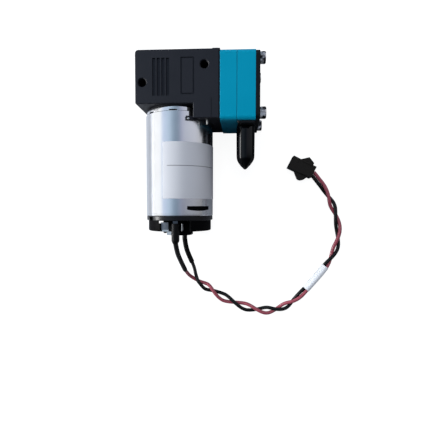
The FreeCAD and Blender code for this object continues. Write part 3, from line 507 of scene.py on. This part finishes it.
# %% [markdown]
# ## Label
# A film label wraps more than a third of the way round the can. The film is thin enough that its
# edge only shows as a fine line. A Shrinkwrap modifier could lay a sheet on the can, but the can
# is round, so a thin section spun part of the way round the shaft fits it exactly. The one rule
# across it belongs to the finish, which draws it by its place on the can.

# %% Label
def part_ring(bm, section, start, end, steps=None):
    """Profile swept round the shaft between two angles, with both ends closed."""
    a = math.radians(start)
    ray = Vector((math.sin(a), 0, math.cos(a)))
    made = chain(bm, [SHAFT + ray * radius + ALONG_Y * along for radius, along in section], closed=True)
    bmesh.ops.spin(bm, geom=made, cent=SHAFT, axis=ALONG_Y, angle=math.radians(end - start),
                   steps=steps or round((end - start) / 2))
    bmesh.ops.holes_fill(bm, edges=[e for e in bm.edges if e.is_boundary], sides=len(section))


LABEL_FROM, LABEL_TO = -19.2, 128.0
LABEL_FRONT, LABEL_REAR = -21.7, -43.9
film = [(0.02, LABEL_FRONT), (0.11, LABEL_FRONT - 0.04), (0.13, LABEL_FRONT - 0.3),
        (0.13, LABEL_REAR + 0.3), (0.11, LABEL_REAR + 0.04), (0.02, LABEL_REAR)]
bm = bmesh.new()
part_ring(bm, [(CAN_RADIUS + rise, along) for rise, along in film], LABEL_FROM, LABEL_TO, steps=96)
label_piece = finished("film_label", bm, label_film, "pump_body")
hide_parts("label")

# %% [markdown]
# ## End cap
# The brush end of the motor is closed by a glossy black moulding. A band follows the can's rim,
# and a broken skirt stands behind it. Between its two halves sit the bearing boss, the two posts
# of the brush arms and the solder tabs. Each form is its own closed shape, all in one piece, and
# neighbours lap by a fifth of a degree, so that no two of them share an edge. One spun shell with
# cuts would need its loops just where each gap begins.

# %% End cap band
BAND_REAR, SKIRT_REAR = -52.7, -57.0
ROOT = BAND_REAR + 0.2
WINDOW_REAR = BAND_REAR - 1.1
NOTCH = (-54.0, -42.5)
NOTCH_DEPTH = 0.4
LAP = 0.2


def skirt(bm, start, end, front=ROOT):
    """One block of the broken skirt, with a rounded outer edge."""
    part_ring(bm, [(11.2, front), (13.2, front), (13.2, SKIRT_REAR + 0.4), (13.1, SKIRT_REAR + 0.12),
                   (12.85, SKIRT_REAR), (11.4, SKIRT_REAR), (11.2, SKIRT_REAR + 0.2)], start, end)


bm = bmesh.new()
part_ring(bm, [(3.0, CAN_REAR), (3.0, BAND_REAR), (13.4, BAND_REAR), (13.75, BAND_REAR + 0.08),
               (13.9, BAND_REAR + 0.25), (13.9, CAN_REAR - 0.2), (13.8, CAN_REAR - 0.05),
               (13.1, CAN_REAR)], NOTCH[1], NOTCH[0] + 360)
part_ring(bm, [(3.0, CAN_REAR), (3.0, BAND_REAR), (10.9, BAND_REAR), (10.9, CAN_REAR - NOTCH_DEPTH),
               (13.8, CAN_REAR - NOTCH_DEPTH), (13.8, CAN_REAR)], NOTCH[0] - LAP, NOTCH[1] + LAP)
skirt(bm, 262, 292)
band_piece = finished("end_cap_band", bm, cap_black, "pump_body")
soften(band_piece, 0.12)
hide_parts("end_cap")

# %% End cap skirt, posts and boss
BOSS_REAR, POST_REAR = -59.1, -57.7
POST_X, POST_RISE = -4.1, 9.6
bm = bmesh.new()
turned(bm, [(12.1, -45.4), (12.1, CAN_REAR - 0.1), (13.15, CAN_REAR - 0.1), (13.15, -45.6),
            (12.95, -45.4)], steps=180)
for start, end in ((28, 152), (211, 225), (292, 319)):
    skirt(bm, start, end)
for start, end in ((202, 211 + LAP), (319 - LAP, 332)):
    skirt(bm, start, end, WINDOW_REAR)
part_ring(bm, [(12.85, ROOT), (13.2, ROOT), (13.2, WINDOW_REAR - 0.1), (12.85, WINDOW_REAR - 0.1)],
          319 - 2 * LAP, 329)
turned(bm, [(0.0, BOSS_REAR), (4.9, BOSS_REAR), (5.3, BOSS_REAR + 0.15), (5.5, BOSS_REAR + 0.5),
            (5.5, ROOT), (0.0, ROOT)], steps=64, closed=False)
for side in (-1, 1):
    turned(bm, [(0.0, POST_REAR), (0.8, POST_REAR), (1.0, POST_REAR + 0.1), (1.1, POST_REAR + 0.4),
                (1.1, ROOT), (0.0, ROOT)], centre=Vector((POST_X, 0, AXIS_Z + side * POST_RISE)),
           steps=40, closed=False)
skirt_piece = finished("end_cap_skirt", bm, skirt_black, "pump_body")
soften(skirt_piece, 0.12)

# %% [markdown]
# The brush arm ends in a spring clip of tin-plated sheet. It saddles the near post, and its
# brighter foot with a small tab hooks over the post's end. A thin upright fin, seen on its bright
# edge, stands beside the terminal's sleeve. Bent sheet keeps one thickness, so each of them is a
# flat outline given its width.

# %% Brush arm clip
SADDLE = (-4.0, 18.4)
CLIP_INNER, CLIP_OUTER = 6.75, 7.0
CLIP_BEND = (-17, 9)


def strip(bm, outline, front, rear):
    """An outline of X and Z given its width along Y."""
    extruded(bm, [(x, front, z) for x, z in outline], (0, rear - front, 0))


low, high = (90 - angle for angle in reversed(CLIP_BEND))
bend = arc(SADDLE, CLIP_OUTER, high, low, 12) + arc(SADDLE, CLIP_INNER, low, high, 12)
bm = bmesh.new()
strip(bm, bend, -56.3, -53.3)
clip = finished("brush_arm_clip", bm, dull_tin, "pump_body")
soften(clip, 0.08)

# %% Clip foot and terminal fin
bm = bmesh.new()
strip(bm, [(-6.0, 24.3), (-6.0, 24.7), (-2.85, 25.15), (-2.85, 24.3)], -56.1, -57.1)
strip(bm, [(-3.8, 24.4), (-3.8, 24.7), (-1.8, 24.98), (-1.8, 24.4)], -57.0, -58.4)
foot = finished("brush_arm_foot", bm, tin, "pump_body")
soften(foot, 0.08)

bm = bmesh.new()
strip(bm, [(2.15, 21.0), (2.15, 24.9), (2.35, 25.12), (2.6, 25.2), (2.6, 21.0)], -53.9, -56.8)
fin = finished("terminal_fin", bm, tin, "pump_body")
soften(fin, 0.03)

# %% [markdown]
# ## Vinyl caps
# Transport caps of soft black vinyl are dip moulded: a mandrel goes into liquid vinyl and comes
# out with an even, very glossy skin. The mouth is cut and slightly rolled, and the closed end
# runs to a blunt point. A subdivided cylinder would only come near that bullet end, so one
# profile is spun about each hose connector.

# %% Vinyl caps
PORT_RISE = 5.6
CAP_X, CAP_LENGTH = 27.8, 17.1


def vinyl_cap(name, node_name, body, z, mouth):
    tip = mouth - CAP_LENGTH
    skin = [(0.0, tip), (0.25, tip + 0.03), (0.5, tip + 0.14), (0.8, tip + 0.4), (1.95, tip + 1.6),
            (2.9, tip + 2.9), (3.38, tip + 3.8), (3.58, tip + 4.55), (3.64, tip + 5.4),
            (3.72, mouth - 0.45), (3.67, mouth - 0.2), (3.5, mouth - 0.05), (3.3, mouth)]
    hollow = [(2.35, mouth), (2.15, mouth), (2.15, tip + 2.2), (1.6, tip + 1.9), (0.0, tip + 1.8)]
    bm = bmesh.new()
    turned(bm, skin + hollow, centre=Vector((CAP_X, 0, z)), closed=False)
    piece = finished(name, bm, vinyl_black, body, crisp=60)
    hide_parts(node_name)


vinyl_cap("vinyl_cap_near", "port_cap_near", "near_cap", AXIS_Z + PORT_RISE, -14.6)
vinyl_cap("vinyl_cap_far", "port_cap_far", "far_cap", AXIS_Z - PORT_RISE, -13.7)

# %% [markdown]
# A thin black collar plate is moulded over the near hose connector, between the teal head and
# the mouth of its cap. Its corners are cut, and a slot from below lets the connector through, so
# the whole plate is one outline with a half round in it.

# %% Port collar
PORT = (27.9, AXIS_Z + PORT_RISE)
SLOT_RADIUS = 2.3
PLATE_FRONT, PLATE_REAR = -13.62, -14.55
PLATE_FOOT = 14.75
outline = [(PORT[0] - SLOT_RADIUS, PLATE_FOOT), (25.1, PLATE_FOOT), (24.5, 15.35), (24.5, 26.6),
           (24.9, 27.0), (31.0, 27.0), (31.4, 26.6), (31.4, 15.35), (30.8, PLATE_FOOT),
           (PORT[0] + SLOT_RADIUS, PLATE_FOOT)] + arc(PORT, SLOT_RADIUS, 0, 180, 12)
bm = bmesh.new()
strip(bm, outline, PLATE_FRONT, PLATE_REAR)
collar_plate = finished("port_collar", bm, plate_black, "pump_body")
soften(collar_plate, 0.1)

# %% [markdown]
# ## Cradle pins
# Two small pins end in the open: a tinned one in the eye of the near hook, and a moulded peg on
# the rear face of the cradle beside the can. Both are turned, with a small chamfer at the end
# that a plain cylinder would lack.

# %% Cradle pins
HOOK_EYE = Vector((5.65, -13.02, 0))
PEG = Vector((12.58, 0, 25.2))
bm = bmesh.new()
turned(bm, [(0.0, 28.2), (0.42, 28.2), (0.42, 28.5), (0.32, 28.6), (0.0, 28.62)], centre=HOOK_EYE,
       axis=ALONG_Z, steps=32, closed=False)
finished("hook_pin", bm, tin, "pump_body")
bm = bmesh.new()
turned(bm, [(0.0, -12.8), (0.4, -12.8), (0.4, -14.6), (0.28, -14.72), (0.0, -14.75)], centre=PEG,
       steps=32, closed=False)
finished("cradle_peg", bm, rod_plastic, "pump_body")

# %% [markdown]
# ## Head screws
# Four socket screws hold the head together. Their heads are cold formed and then knurled, which
# leaves fine upright flutes round the rim, and a hexagon socket is punched in the middle. A bump
# would not show on the outline, so a ring of real flutes is bridged to a hexagon, and the face
# flows from the rim into the socket. No two screws are turned in by quite the same amount.

# %% Head screws
SCREW_FACE, SCREW_TOP = 33.15, 35.35
SCREW_ACROSS, SCREW_RISE = 10.5, 11.2
FLUTES = 30
SOCKET_RADIUS = 1.15


def ring(bm, x, y, z, radius, count, flute=0.0):
    """Closed loop of points about a line along X, every second point a flute's depth in."""
    points = []
    for i in range(count):
        a = math.tau * i / count
        reach = radius - (flute if i % 2 else 0)
        points.append((x, y + reach * math.sin(a), z + reach * math.cos(a)))
    return [item for item in chain(bm, points, closed=True) if isinstance(item, bmesh.types.BMEdge)]


def head_screw(bm, y, z, top):
    count = 2 * FLUTES
    shapes = [(SCREW_FACE, 2.1, count), (SCREW_FACE + 0.12, 2.3, count, 0.08),
              (top - 0.45, 2.35, count, 0.16), (top - 0.3, 2.27, count, 0.04), (top - 0.08, 2.12, count),
              (top, 1.9, count), (top, 1.45, count), (top - 0.12, SOCKET_RADIUS, 6),
              (top - 1.3, SOCKET_RADIUS, 6)]
    rings = [ring(bm, x, y, z, *shape) for x, *shape in shapes]
    for low, high in zip(rings, rings[1:]):
        bmesh.ops.bridge_loops(bm, edges=low + high)
    bmesh.ops.holes_fill(bm, edges=rings[0] + rings[-1], sides=count)


bm = bmesh.new()
for across, up, stands_out in ((-1, 1, 0.25), (1, 1, 0.0), (-1, -1, -0.1), (1, -1, -0.6)):
    head_screw(bm, across * SCREW_ACROSS, AXIS_Z + up * SCREW_RISE, SCREW_TOP + stands_out)
screws = finished("screw_heads", bm, screw_steel, "pump_body", crisp=25)
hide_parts("head_screws")

# %% [markdown]
# ## Leads
# Two insulated leads leave the solder tabs under shrink sleeves, drop to the floor, twist round
# each other and run in a loose arc to the plug. A cloth or rope simulation would lay them anew
# each time it runs. Here the route is one smooth line through a few chosen points, and each lead
# follows it at a small offset that turns round the line.

# %% Read a smooth route
def spline_points(points):
    """Points along a smooth line that is guided by a few points in millimetres."""
    curve = bpy.data.curves.new("route", "CURVE")
    curve.dimensions = "3D"
    curve.resolution_u = 24
    spline = curve.splines.new("NURBS")
    spline.points.add(len(points) - 1)
    for point, place in zip(spline.points, points):
        point.co = (*[c * MM for c in place], 1)
    spline.order_u = 3
    spline.use_endpoint_u = True
    holder = bpy.data.objects.new("route", curve)
    mesh = bpy.data.meshes.new_from_object(holder)
    found = [v.co.copy() for v in mesh.vertices]
    bpy.data.objects.remove(holder)
    bpy.data.curves.remove(curve)
    bpy.data.meshes.remove(mesh)
    return found


def lengths_along(points):
    total, found = 0.0, [0.0]
    for a, b in zip(points, points[1:]):
        total += (b - a).length
        found.append(total)
    return found


# %% Make a round tube along a line
def tube(name, line, radii, material, body, sides=5):
    """Round tube along a line, with one radius or a radius for each point, and closed ends."""
    curve = bpy.data.curves.new(name, "CURVE")
    curve.dimensions = "3D"
    curve.bevel_depth = MM
    curve.bevel_resolution = sides
    curve.use_fill_caps = True
    spline = curve.splines.new("POLY")
    spline.points.add(len(line) - 1)
    for i, (point, place) in enumerate(zip(spline.points, line)):
        point.co = (*place, 1)
        point.radius = radii[i] if isinstance(radii, list) else radii
    holder = bpy.data.objects.new(name, curve)
    mesh = bpy.data.meshes.new_from_object(holder)
    bpy.data.objects.remove(holder)
    bm = bmesh.new()
    bm.from_mesh(mesh)
    bmesh.ops.scale(bm, vec=(1 / MM, 1 / MM, 1 / MM), verts=bm.verts)
    return finished(name, bm, material, body, crisp=50)


# %% Routes
NEAR_SLEEVE = [(-0.2, -61.6, 24.55), (-0.2, -65.4, 21.6), (0.1, -69.8, 15.4), (1.3, -75.6, 8.4)]
RED_LEAD = [(1.3, -75.6, 8.4), (2.1, -78.2, 4.6), (3.7, -80.3, 1.6), (6.4, -82.0, 0.8)]
FAR_SLEEVE = [(0.4, -61.6, 3.95), (0.7, -65.2, 3.4), (2.0, -69.6, 2.3), (3.5, -73.0, 1.7)]
BLACK_LEAD = [(3.5, -73.0, 1.7), (4.6, -75.6, 1.6), (5.2, -78.8, 2.0), (6.4, -82.0, 2.3)]
PAIR = [(6.4, -82.0, 1.55), (8.8, -83.7, 1.55), (12.2, -85.6, 1.55), (16.6, -88.6, 1.55),
        (22.6, -91.5, 1.55), (29.4, -94.1, 1.55), (37.0, -95.5, 1.55), (44.6, -94.4, 1.55),
        (51.6, -89.8, 1.75), (56.4, -84.6, 1.82), (65.6, -73.6, 1.82), (69.6, -66.0, 1.65),
        (70.7, -59.2, 1.55), (69.8, -52.6, 1.55), (67.4, -45.4, 1.6), (63.6, -38.4, 1.95),
        (60.6, -34.8, 2.4), (58.32, -32.0, 2.6)]
near_route = spline_points(NEAR_SLEEVE)
far_route = spline_points(FAR_SLEEVE)
pair_route = spline_points(PAIR)
pair_lengths = lengths_along(pair_route)
print("pair length", round(pair_lengths[-1] / MM, 1), "mm")

# %% [markdown]
# The twist is a list of places, in millimetres along the pair, with the half turns made by then
# and the sideways reach of each lead. A wide reach leaves light between the leads, as in the
# loose turns near the motor, and a narrow one lays them side by side, as under the marker sleeve.
# Turning at one even rate would be simpler, but a pair that is twisted by hand is uneven.

# %% Twist
TWIST = [(0.0, 0.0, 0.75), (0.6, 0.05, 0.78), (4.5, 0.5, 1.3), (8.5, 1.0, 1.2), (14.3, 1.5, 1.5),
         (20.1, 2.0, 1.2), (25.5, 2.5, 1.4), (30.9, 3.0, 1.2), (35.4, 3.5, 1.35), (39.9, 4.0, 1.0),
         (44.1, 4.5, 1.1), (48.3, 5.0, 0.85), (53.0, 5.42, 0.85), (56.0, 5.48, 0.8),
         (70.4, 5.56, 0.8), (72.5, 5.75, 0.85), (74.8, 6.0, 0.8), (79.8, 6.5, 1.0),
         (85.0, 7.0, 0.85), (90.4, 7.5, 0.85), (95.8, 8.0, 0.85), (100.0, 8.5, 0.95),
         (104.4, 9.0, 0.85), (110.0, 9.45, 0.8), (116.9, 9.5, 0.82)]
CROSSING_HEIGHT = 0.75


def twist_at(length):
    """Half turns and sideways reach at a place along the pair."""
    for (l0, t0, r0), (l1, t1, r1) in zip(TWIST, TWIST[1:]):
        if length <= l1:
            share = (length - l0) / (l1 - l0)
            return t0 + (t1 - t0) * share, r0 + (r1 - r0) * share
    return TWIST[-1][1:]


def strand(sign):
    """One lead of the pair: 1 for the red lead, which starts below, and -1 for the black one."""
    points = []
    for i, place in enumerate(pair_route):
        ahead = pair_route[min(i + 1, len(pair_route) - 1)] - pair_route[max(i - 1, 0)]
        left = Vector((-ahead.y, ahead.x, 0)).normalized()
        turn, reach = twist_at(pair_lengths[i] / MM)
        half_turn = math.pi * turn
        lift = -CROSSING_HEIGHT * math.cos(half_turn)
        points.append(place + sign * MM * (left * reach * math.sin(half_turn) + ALONG_Z * lift))
    return points


def eased(points, rounds=6):
    """Points drawn a little towards their neighbours, with both ends kept."""
    for _ in range(rounds):
        inner = [(a + 2 * b + c) / 4 for a, b, c in zip(points, points[1:], points[2:])]
        points = [points[0]] + inner + [points[-1]]
    return points


# %% Both leads
WIRE = 0.8
red_line = eased(near_route[:-1] + spline_points(RED_LEAD)[:-1] + strand(1))
black_line = eased(far_route[:-1] + spline_points(BLACK_LEAD)[:-1] + strand(-1))
red_wire = tube("red_wire", red_line, WIRE, wire_red, "pump_body")
black_wire = tube("black_wire", black_line, WIRE, wire_black, "pump_body")
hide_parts("red_lead", "twisted_pair")
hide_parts("black_lead")

# %% [markdown]
# ## Sleeves
# Each solder joint is covered by shrink sleeve: a wide collar over the tab, which shrinks to a
# slim tube over the lead. The marker is a plain white sleeve, slipped on both leads at once. A
# tube whose radius changes along its line follows the lead exactly, which a scaled cylinder
# can't do.

# %% Shrink sleeves
TAB_END = -53.9
COLLAR_RADIUS = 1.6
SHRINK_LENGTH = 1.4


def shrink_sleeve(name, node_name, route, collar, slim):
    start = route[0]
    steps = [0.0, 0.1] + [0.4 * i for i in range(1, 19)]
    run_in = [Vector((start.x, (TAB_END - step) * MM, start.z)) for step in steps]
    line = run_in + [p for p in route if p.y < (TAB_END - 7.5) * MM]
    radii = []
    for point in line:
        beyond = TAB_END - collar - point.y / MM
        share = min(max((beyond + 0.4) / SHRINK_LENGTH, 0.0), 1.0)
        share = share * share * (3 - 2 * share)
        radii.append(COLLAR_RADIUS + (slim - COLLAR_RADIUS) * share)
    radii[0] = COLLAR_RADIUS - 0.15
    radii[-1] = slim - 0.08
    piece = tube(name, line, radii, sleeve_black, "pump_body", sides=8)
    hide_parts(node_name)
    return piece


sleeve_near_piece = shrink_sleeve("shrink_sleeve_near", "sleeve_near", near_route, 7.2, 1.0)
sleeve_far_piece = shrink_sleeve("shrink_sleeve_far", "sleeve_far", far_route, 4.6, 1.12)

# %% Marker sleeve
MARKER = (56.0, 70.2)
MARKER_RADIUS, MARKER_RIM = 1.72, 1.66
marked = [p for p, l in zip(pair_route, pair_lengths) if MARKER[0] <= l / MM <= MARKER[1]]
marker_radii = [MARKER_RIM] + [MARKER_RADIUS] * (len(marked) - 2) + [MARKER_RIM]
marker_piece = tube("white_marker_sleeve", marked, marker_radii, sleeve_white, "pump_body",
                    sides=9)
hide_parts("marker_sleeve")

# %% [markdown]
# ## Plug
# The two-way plug is moulded in matte black. Two flared wings give the fingers a grip, and one
# long rib runs beside the upper wing. Building it where it lies would mean slanted numbers, so
# the outlines are drawn flat and square, given their thickness, and then turned into place on
# the floor. The mouth is one face, inset by the wall and pushed in.

# %% Plug
PLUG_NOSE = Vector((48.25, -26.87, 0))
PLUG_TURN = Matrix.Rotation(math.radians(-27), 4, "Z")
PLUG_HALF, PLUG_HEIGHT, PLUG_WALL = 2.95, 5.2, 0.8
MOUTH_DEPTH = 3.0
WING_LOW, WING_HIGH = 0.8, 4.4


def box(bm, low, high):
    low, high = Vector(low), Vector(high)
    made = bmesh.ops.create_cube(bm, size=1.0)
    bmesh.ops.scale(bm, vec=high - low, verts=made["verts"])
    bmesh.ops.translate(bm, vec=(low + high) / 2, verts=made["verts"])
    return made["verts"]


def flat_block(bm, outline, low, high):
    extruded(bm, [(u, v, low) for u, v in outline], (0, 0, high - low))


bm = bmesh.new()
flat_block(bm, [(MOUTH_DEPTH, PLUG_HALF), (11.3, 3.0), (11.3, -2.6), (MOUTH_DEPTH, -PLUG_HALF)],
           0.0, PLUG_HEIGHT)
flat_block(bm, [(3.2, 2.6), (3.5, 2.95), (6.6, 5.5), (9.7, 4.1), (9.7, 3.2), (6.5, 2.6)],
           WING_LOW, WING_HIGH)
flat_block(bm, [(3.2, -2.6), (8.0, -2.6), (9.4, -2.7), (9.4, -3.6), (8.8, -4.6), (7.9, -5.3),
                (6.9, -5.5), (6.2, -5.3), (3.5, -2.95)], WING_LOW, WING_HIGH)
flat_block(bm, [(4.6, 2.55), (11.1, 2.75), (11.1, 2.4), (4.6, 2.2)], PLUG_HEIGHT - 0.1,
           PLUG_HEIGHT + 0.22)
shroud = box(bm, (0, -PLUG_HALF, 0), (MOUTH_DEPTH + 0.1, PLUG_HALF, PLUG_HEIGHT))
shroud_faces = {face for vert in shroud for face in vert.link_faces}
mouth = min(shroud_faces, key=lambda face: face.calc_center_median().x)
bmesh.ops.inset_region(bm, faces=[mouth], thickness=PLUG_WALL)
pocket = bmesh.ops.extrude_discrete_faces(bm, faces=[mouth])["faces"][0]
bmesh.ops.translate(bm, vec=(MOUTH_DEPTH, 0, 0), verts=pocket.verts)
bmesh.ops.transform(bm, matrix=Matrix.Translation(PLUG_NOSE) @ PLUG_TURN, verts=bm.verts)
plug = finished("plug_housing", bm, plug_black, "pump_body", weld=0.00001)
soften(plug, 0.22, segments=3)
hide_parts("connector_housing")

# %% Lengths of both leads
for name, line in (("red lead", red_line), ("black lead", black_line)):
    print(name, round(lengths_along(line)[-1] / MM, 1), "mm")

# %% [markdown]
# ## Floor
# The camera sees a white floor with a faint contact shadow. A mirror-like can also needs a room
# around it, and a white floor all round would wash it out. So to the pump the same floor is a
# grey bench with painted light and shade: paler on the left, where the window lights it, painted
# darker on the right, where the pump's shadow would fall, painted a little darker at its far left
# end, and glowing beyond that as a painted light. The Light Path node tells the two apart.

# %% Floor
def seen_by_camera(tree, other_rays, camera_rays):
    """One surface for the camera's own rays, and another for mirrors and bounced light."""
    path = node(tree, "ShaderNodeLightPath")
    mix = node(tree, "ShaderNodeMixShader")
    tree.links.new(path.outputs["Is Camera Ray"], mix.inputs["Fac"])
    tree.links.new(other_rays, mix.inputs[1])
    tree.links.new(camera_rays, mix.inputs[2])
    return mix.outputs[0]


def added(tree, first, second):
    total = node(tree, "ShaderNodeAddShader")
    tree.links.new(first.outputs[0], total.inputs[0])
    tree.links.new(second.outputs[0], total.inputs[1])
    return total.outputs[0]


FLOOR_GLOW = 0.93
PALE_BENCH, SHADOW_PAINTED_BENCH = (0.74, 0.76, 0.8), (0.08, 0.08, 0.085)
floor_material, tree, principled = new_material("pale floor")
tree.nodes.remove(principled)
soft = node(tree, "ShaderNodeBsdfDiffuse", Color=(0.2, 0.2, 0.2, 1))
glow = node(tree, "ShaderNodeEmission", Color=(1, 1, 1, 1), Strength=FLOOR_GLOW)
at = parted(tree)
# Painted shadow: to mirrors and bounced light, the bench is painted dark on the right near the head,
# where the pump's shadow would fall, and partly dark at its far left end.
near_head = between(tree, at["Y"], 0.6, 1.0, -0.05, -0.02)
right_side = math_node(tree, "MULTIPLY", between(tree, at["X"], 0, 1, -0.03, 0.01), near_head)
left_end = between(tree, at["X"], 0.4, 0, -0.06, -0.025)
painted_shade_mask = math_node(tree, "MAXIMUM", right_side, left_end)
bench = node(tree, "ShaderNodeBsdfDiffuse")
tree.links.new(blend_colours(tree, painted_shade_mask, PALE_BENCH, SHADOW_PAINTED_BENCH), bench.inputs["Color"])
# Painted light: further left the bench glows, though it is no lamp.
painted_glow = node(tree, "ShaderNodeEmission", Color=(1, 1, 1, 1))
tree.links.new(between(tree, at["X"], 0.6, 0.0, -0.18, -0.08), painted_glow.inputs["Strength"])
surface = seen_by_camera(tree, added(tree, bench, painted_glow), added(tree, soft, glow))
tree.links.new(surface, tree.nodes["Material Output"].inputs["Surface"])

# %% Lay the floor
bm = bmesh.new()
bmesh.ops.create_grid(bm, x_segments=1, y_segments=1, size=1.5)
mesh = bpy.data.meshes.new("floor")
bm.to_mesh(mesh)
bm.free()
mesh.materials.append(floor_material)
floor = bpy.data.objects.new("floor", mesh)
floor.location.z = -0.00005
bpy.context.scene.collection.objects.link(floor)
print("floor:", round(floor.dimensions.x, 2), "m wide")

# %% [markdown]
# ## Soft room
# The can is a mirror, so what it shows is the room. The sky of this room changes with the angle
# across the pump: a white window low on the left, blue-grey fading to a darker ceiling overhead,
# and a lighter grey on the right. A row of lamps could give such bands, with hard edges between
# them, while a colour ramp over the angle blends them. The camera itself looks at a plain pale
# wall, so a view from the side shows no sky.

# %% Soft room
SMOOTH = "SMOOTHSTEP"
SKY = [(-92, (0.98, 1.01, 1.05)), (-88, (1.19, 1.2, 1.2)), (-58, (1.17, 1.19, 1.2)),
       (-52, (0.74, 0.84, 1.04)), (-43, (0.63, 0.74, 0.93)), (-29, (0.56, 0.70, 0.86)),
       (-22, (0.46, 0.58, 0.72)), (-15, (0.34, 0.44, 0.56)), (-8, (0.25, 0.34, 0.44)),
       (0, (0.235, 0.315, 0.405)), (8, (0.30, 0.35, 0.46)), (17, (0.50, 0.52, 0.66)),
       (27, (0.58, 0.61, 0.71)), (60, (0.66, 0.68, 0.76)), (92, (0.6, 0.6, 0.62))]
SKY_SPAN = 95
SKY_PEAK = 1.2
scene = bpy.context.scene
scene.view_settings.view_transform = "Standard"
world = bpy.data.worlds.new("soft room")
scene.world = world
world.use_nodes = True
tree = world.node_tree
way = node(tree, "ShaderNodeTexCoord")
split = node(tree, "ShaderNodeSeparateXYZ")
tree.links.new(way.outputs["Generated"], split.inputs["Vector"])
across = math_node(tree, "ARCTAN2", split.outputs["X"], split.outputs["Z"])
degrees = math_node(tree, "MULTIPLY", across, 180 / math.pi)
ramp = node(tree, "ShaderNodeValToRGB")
tree.links.new(between(tree, degrees, 0, 1, -SKY_SPAN, SKY_SPAN), ramp.inputs["Fac"])
stops = ramp.color_ramp.elements
stops.remove(stops[1])
for i, (angle, colour) in enumerate(SKY):
    place = (angle + SKY_SPAN) / (2 * SKY_SPAN)
    stop = stops[0] if i == 0 else stops.new(place)
    stop.position = place
    stop.color = (*[c / SKY_PEAK for c in colour], 1)
print("steps in the sky:", len(stops))

# %% Dim the room beyond the head and the foot, and hang the wall
right = between(tree, degrees, 0, 1, 4, 22, SMOOTH)
low_right = between(tree, split.outputs["Y"], 0.57, 0, -0.02, 0.19, SMOOTH)
right_dim = math_node(tree, "SUBTRACT", 1.0, math_node(tree, "MULTIPLY", right, low_right))
foot_dim = between(tree, split.outputs["Y"], 0.12, 1, -0.6, -0.08, SMOOTH)
dim = math_node(tree, "MULTIPLY", right_dim, foot_dim)
background = tree.nodes["Background"]
tree.links.new(ramp.outputs["Color"], background.inputs["Color"])
tree.links.new(math_node(tree, "MULTIPLY", dim, SKY_PEAK), background.inputs["Strength"])
wall = node(tree, "ShaderNodeBackground", Color=(0.9, 0.91, 0.92, 1), Strength=1.0)
surface = seen_by_camera(tree, background.outputs[0], wall.outputs[0])
tree.links.new(surface, tree.nodes["World Output"].inputs["Surface"])
print("nodes of the room:", len(tree.nodes))

# %% [markdown]
# ## Lamps
# Two soft lamps shape the matte pieces: a window on the left, and a broad one above that only
# lights and isn't mirrored. A flag, as photographers call it, keeps the window's hard glare off
# the polished can. Light linking does the same here, and the other pieces keep their light.

# %% Lamps
MIDDLE = (0.01, -0.03, 0.01)


def lamp(name, place, size, power, mirrored):
    """Soft lamp of a width and a length, which shows in the pump's mirrors or only lights it."""
    light = bpy.data.lights.new(name, "AREA")
    light.shape = "RECTANGLE"
    light.size, light.size_y = size
    light.energy = power
    holder = bpy.data.objects.new(name, light)
    holder.location = place
    holder.rotation_euler = (Vector(MIDDLE) - Vector(place)).to_track_quat("-Z", "Y").to_euler()
    holder.visible_glossy = mirrored
    scene.collection.objects.link(holder)
    print(name, power, "W")
    return holder


window = lamp("window", (-0.565, 0.0, 0.175), (0.5, 0.15), 4.0, True)
lamp("top lamp", (0.0, 0.25, 0.80), (0.45, 0.45), 2.2, False)
flagged = bpy.data.collections.new("flagged pieces")
flagged.objects.link(can)
flagged.collection_objects[0].light_linking.link_state = "EXCLUDE"
window.light_linking.receiver_collection = flagged

# %% [markdown]
# ## Camera
# The camera looks down from about 17 cm above the floor and leans by a few degrees. So close by,
# the pump's upper face looks larger than its foot. A longer lens from further off would flatten
# that, and the sides of the head would no longer show.

# %% Camera
lens = bpy.data.cameras.new("camera")
lens.lens = 29.2
lens.sensor_width = 36
lens.clip_start = 0.001
camera = bpy.data.objects.new("camera", lens)
camera.location = (0.02533, -0.04621, 0.16645)
camera.rotation_euler = tuple(math.radians(a) for a in (-2.458, 3.076, 0.101))
scene.collection.objects.link(camera)
scene.camera = camera
print("camera height:", round(camera.location.z / MM), "mm")
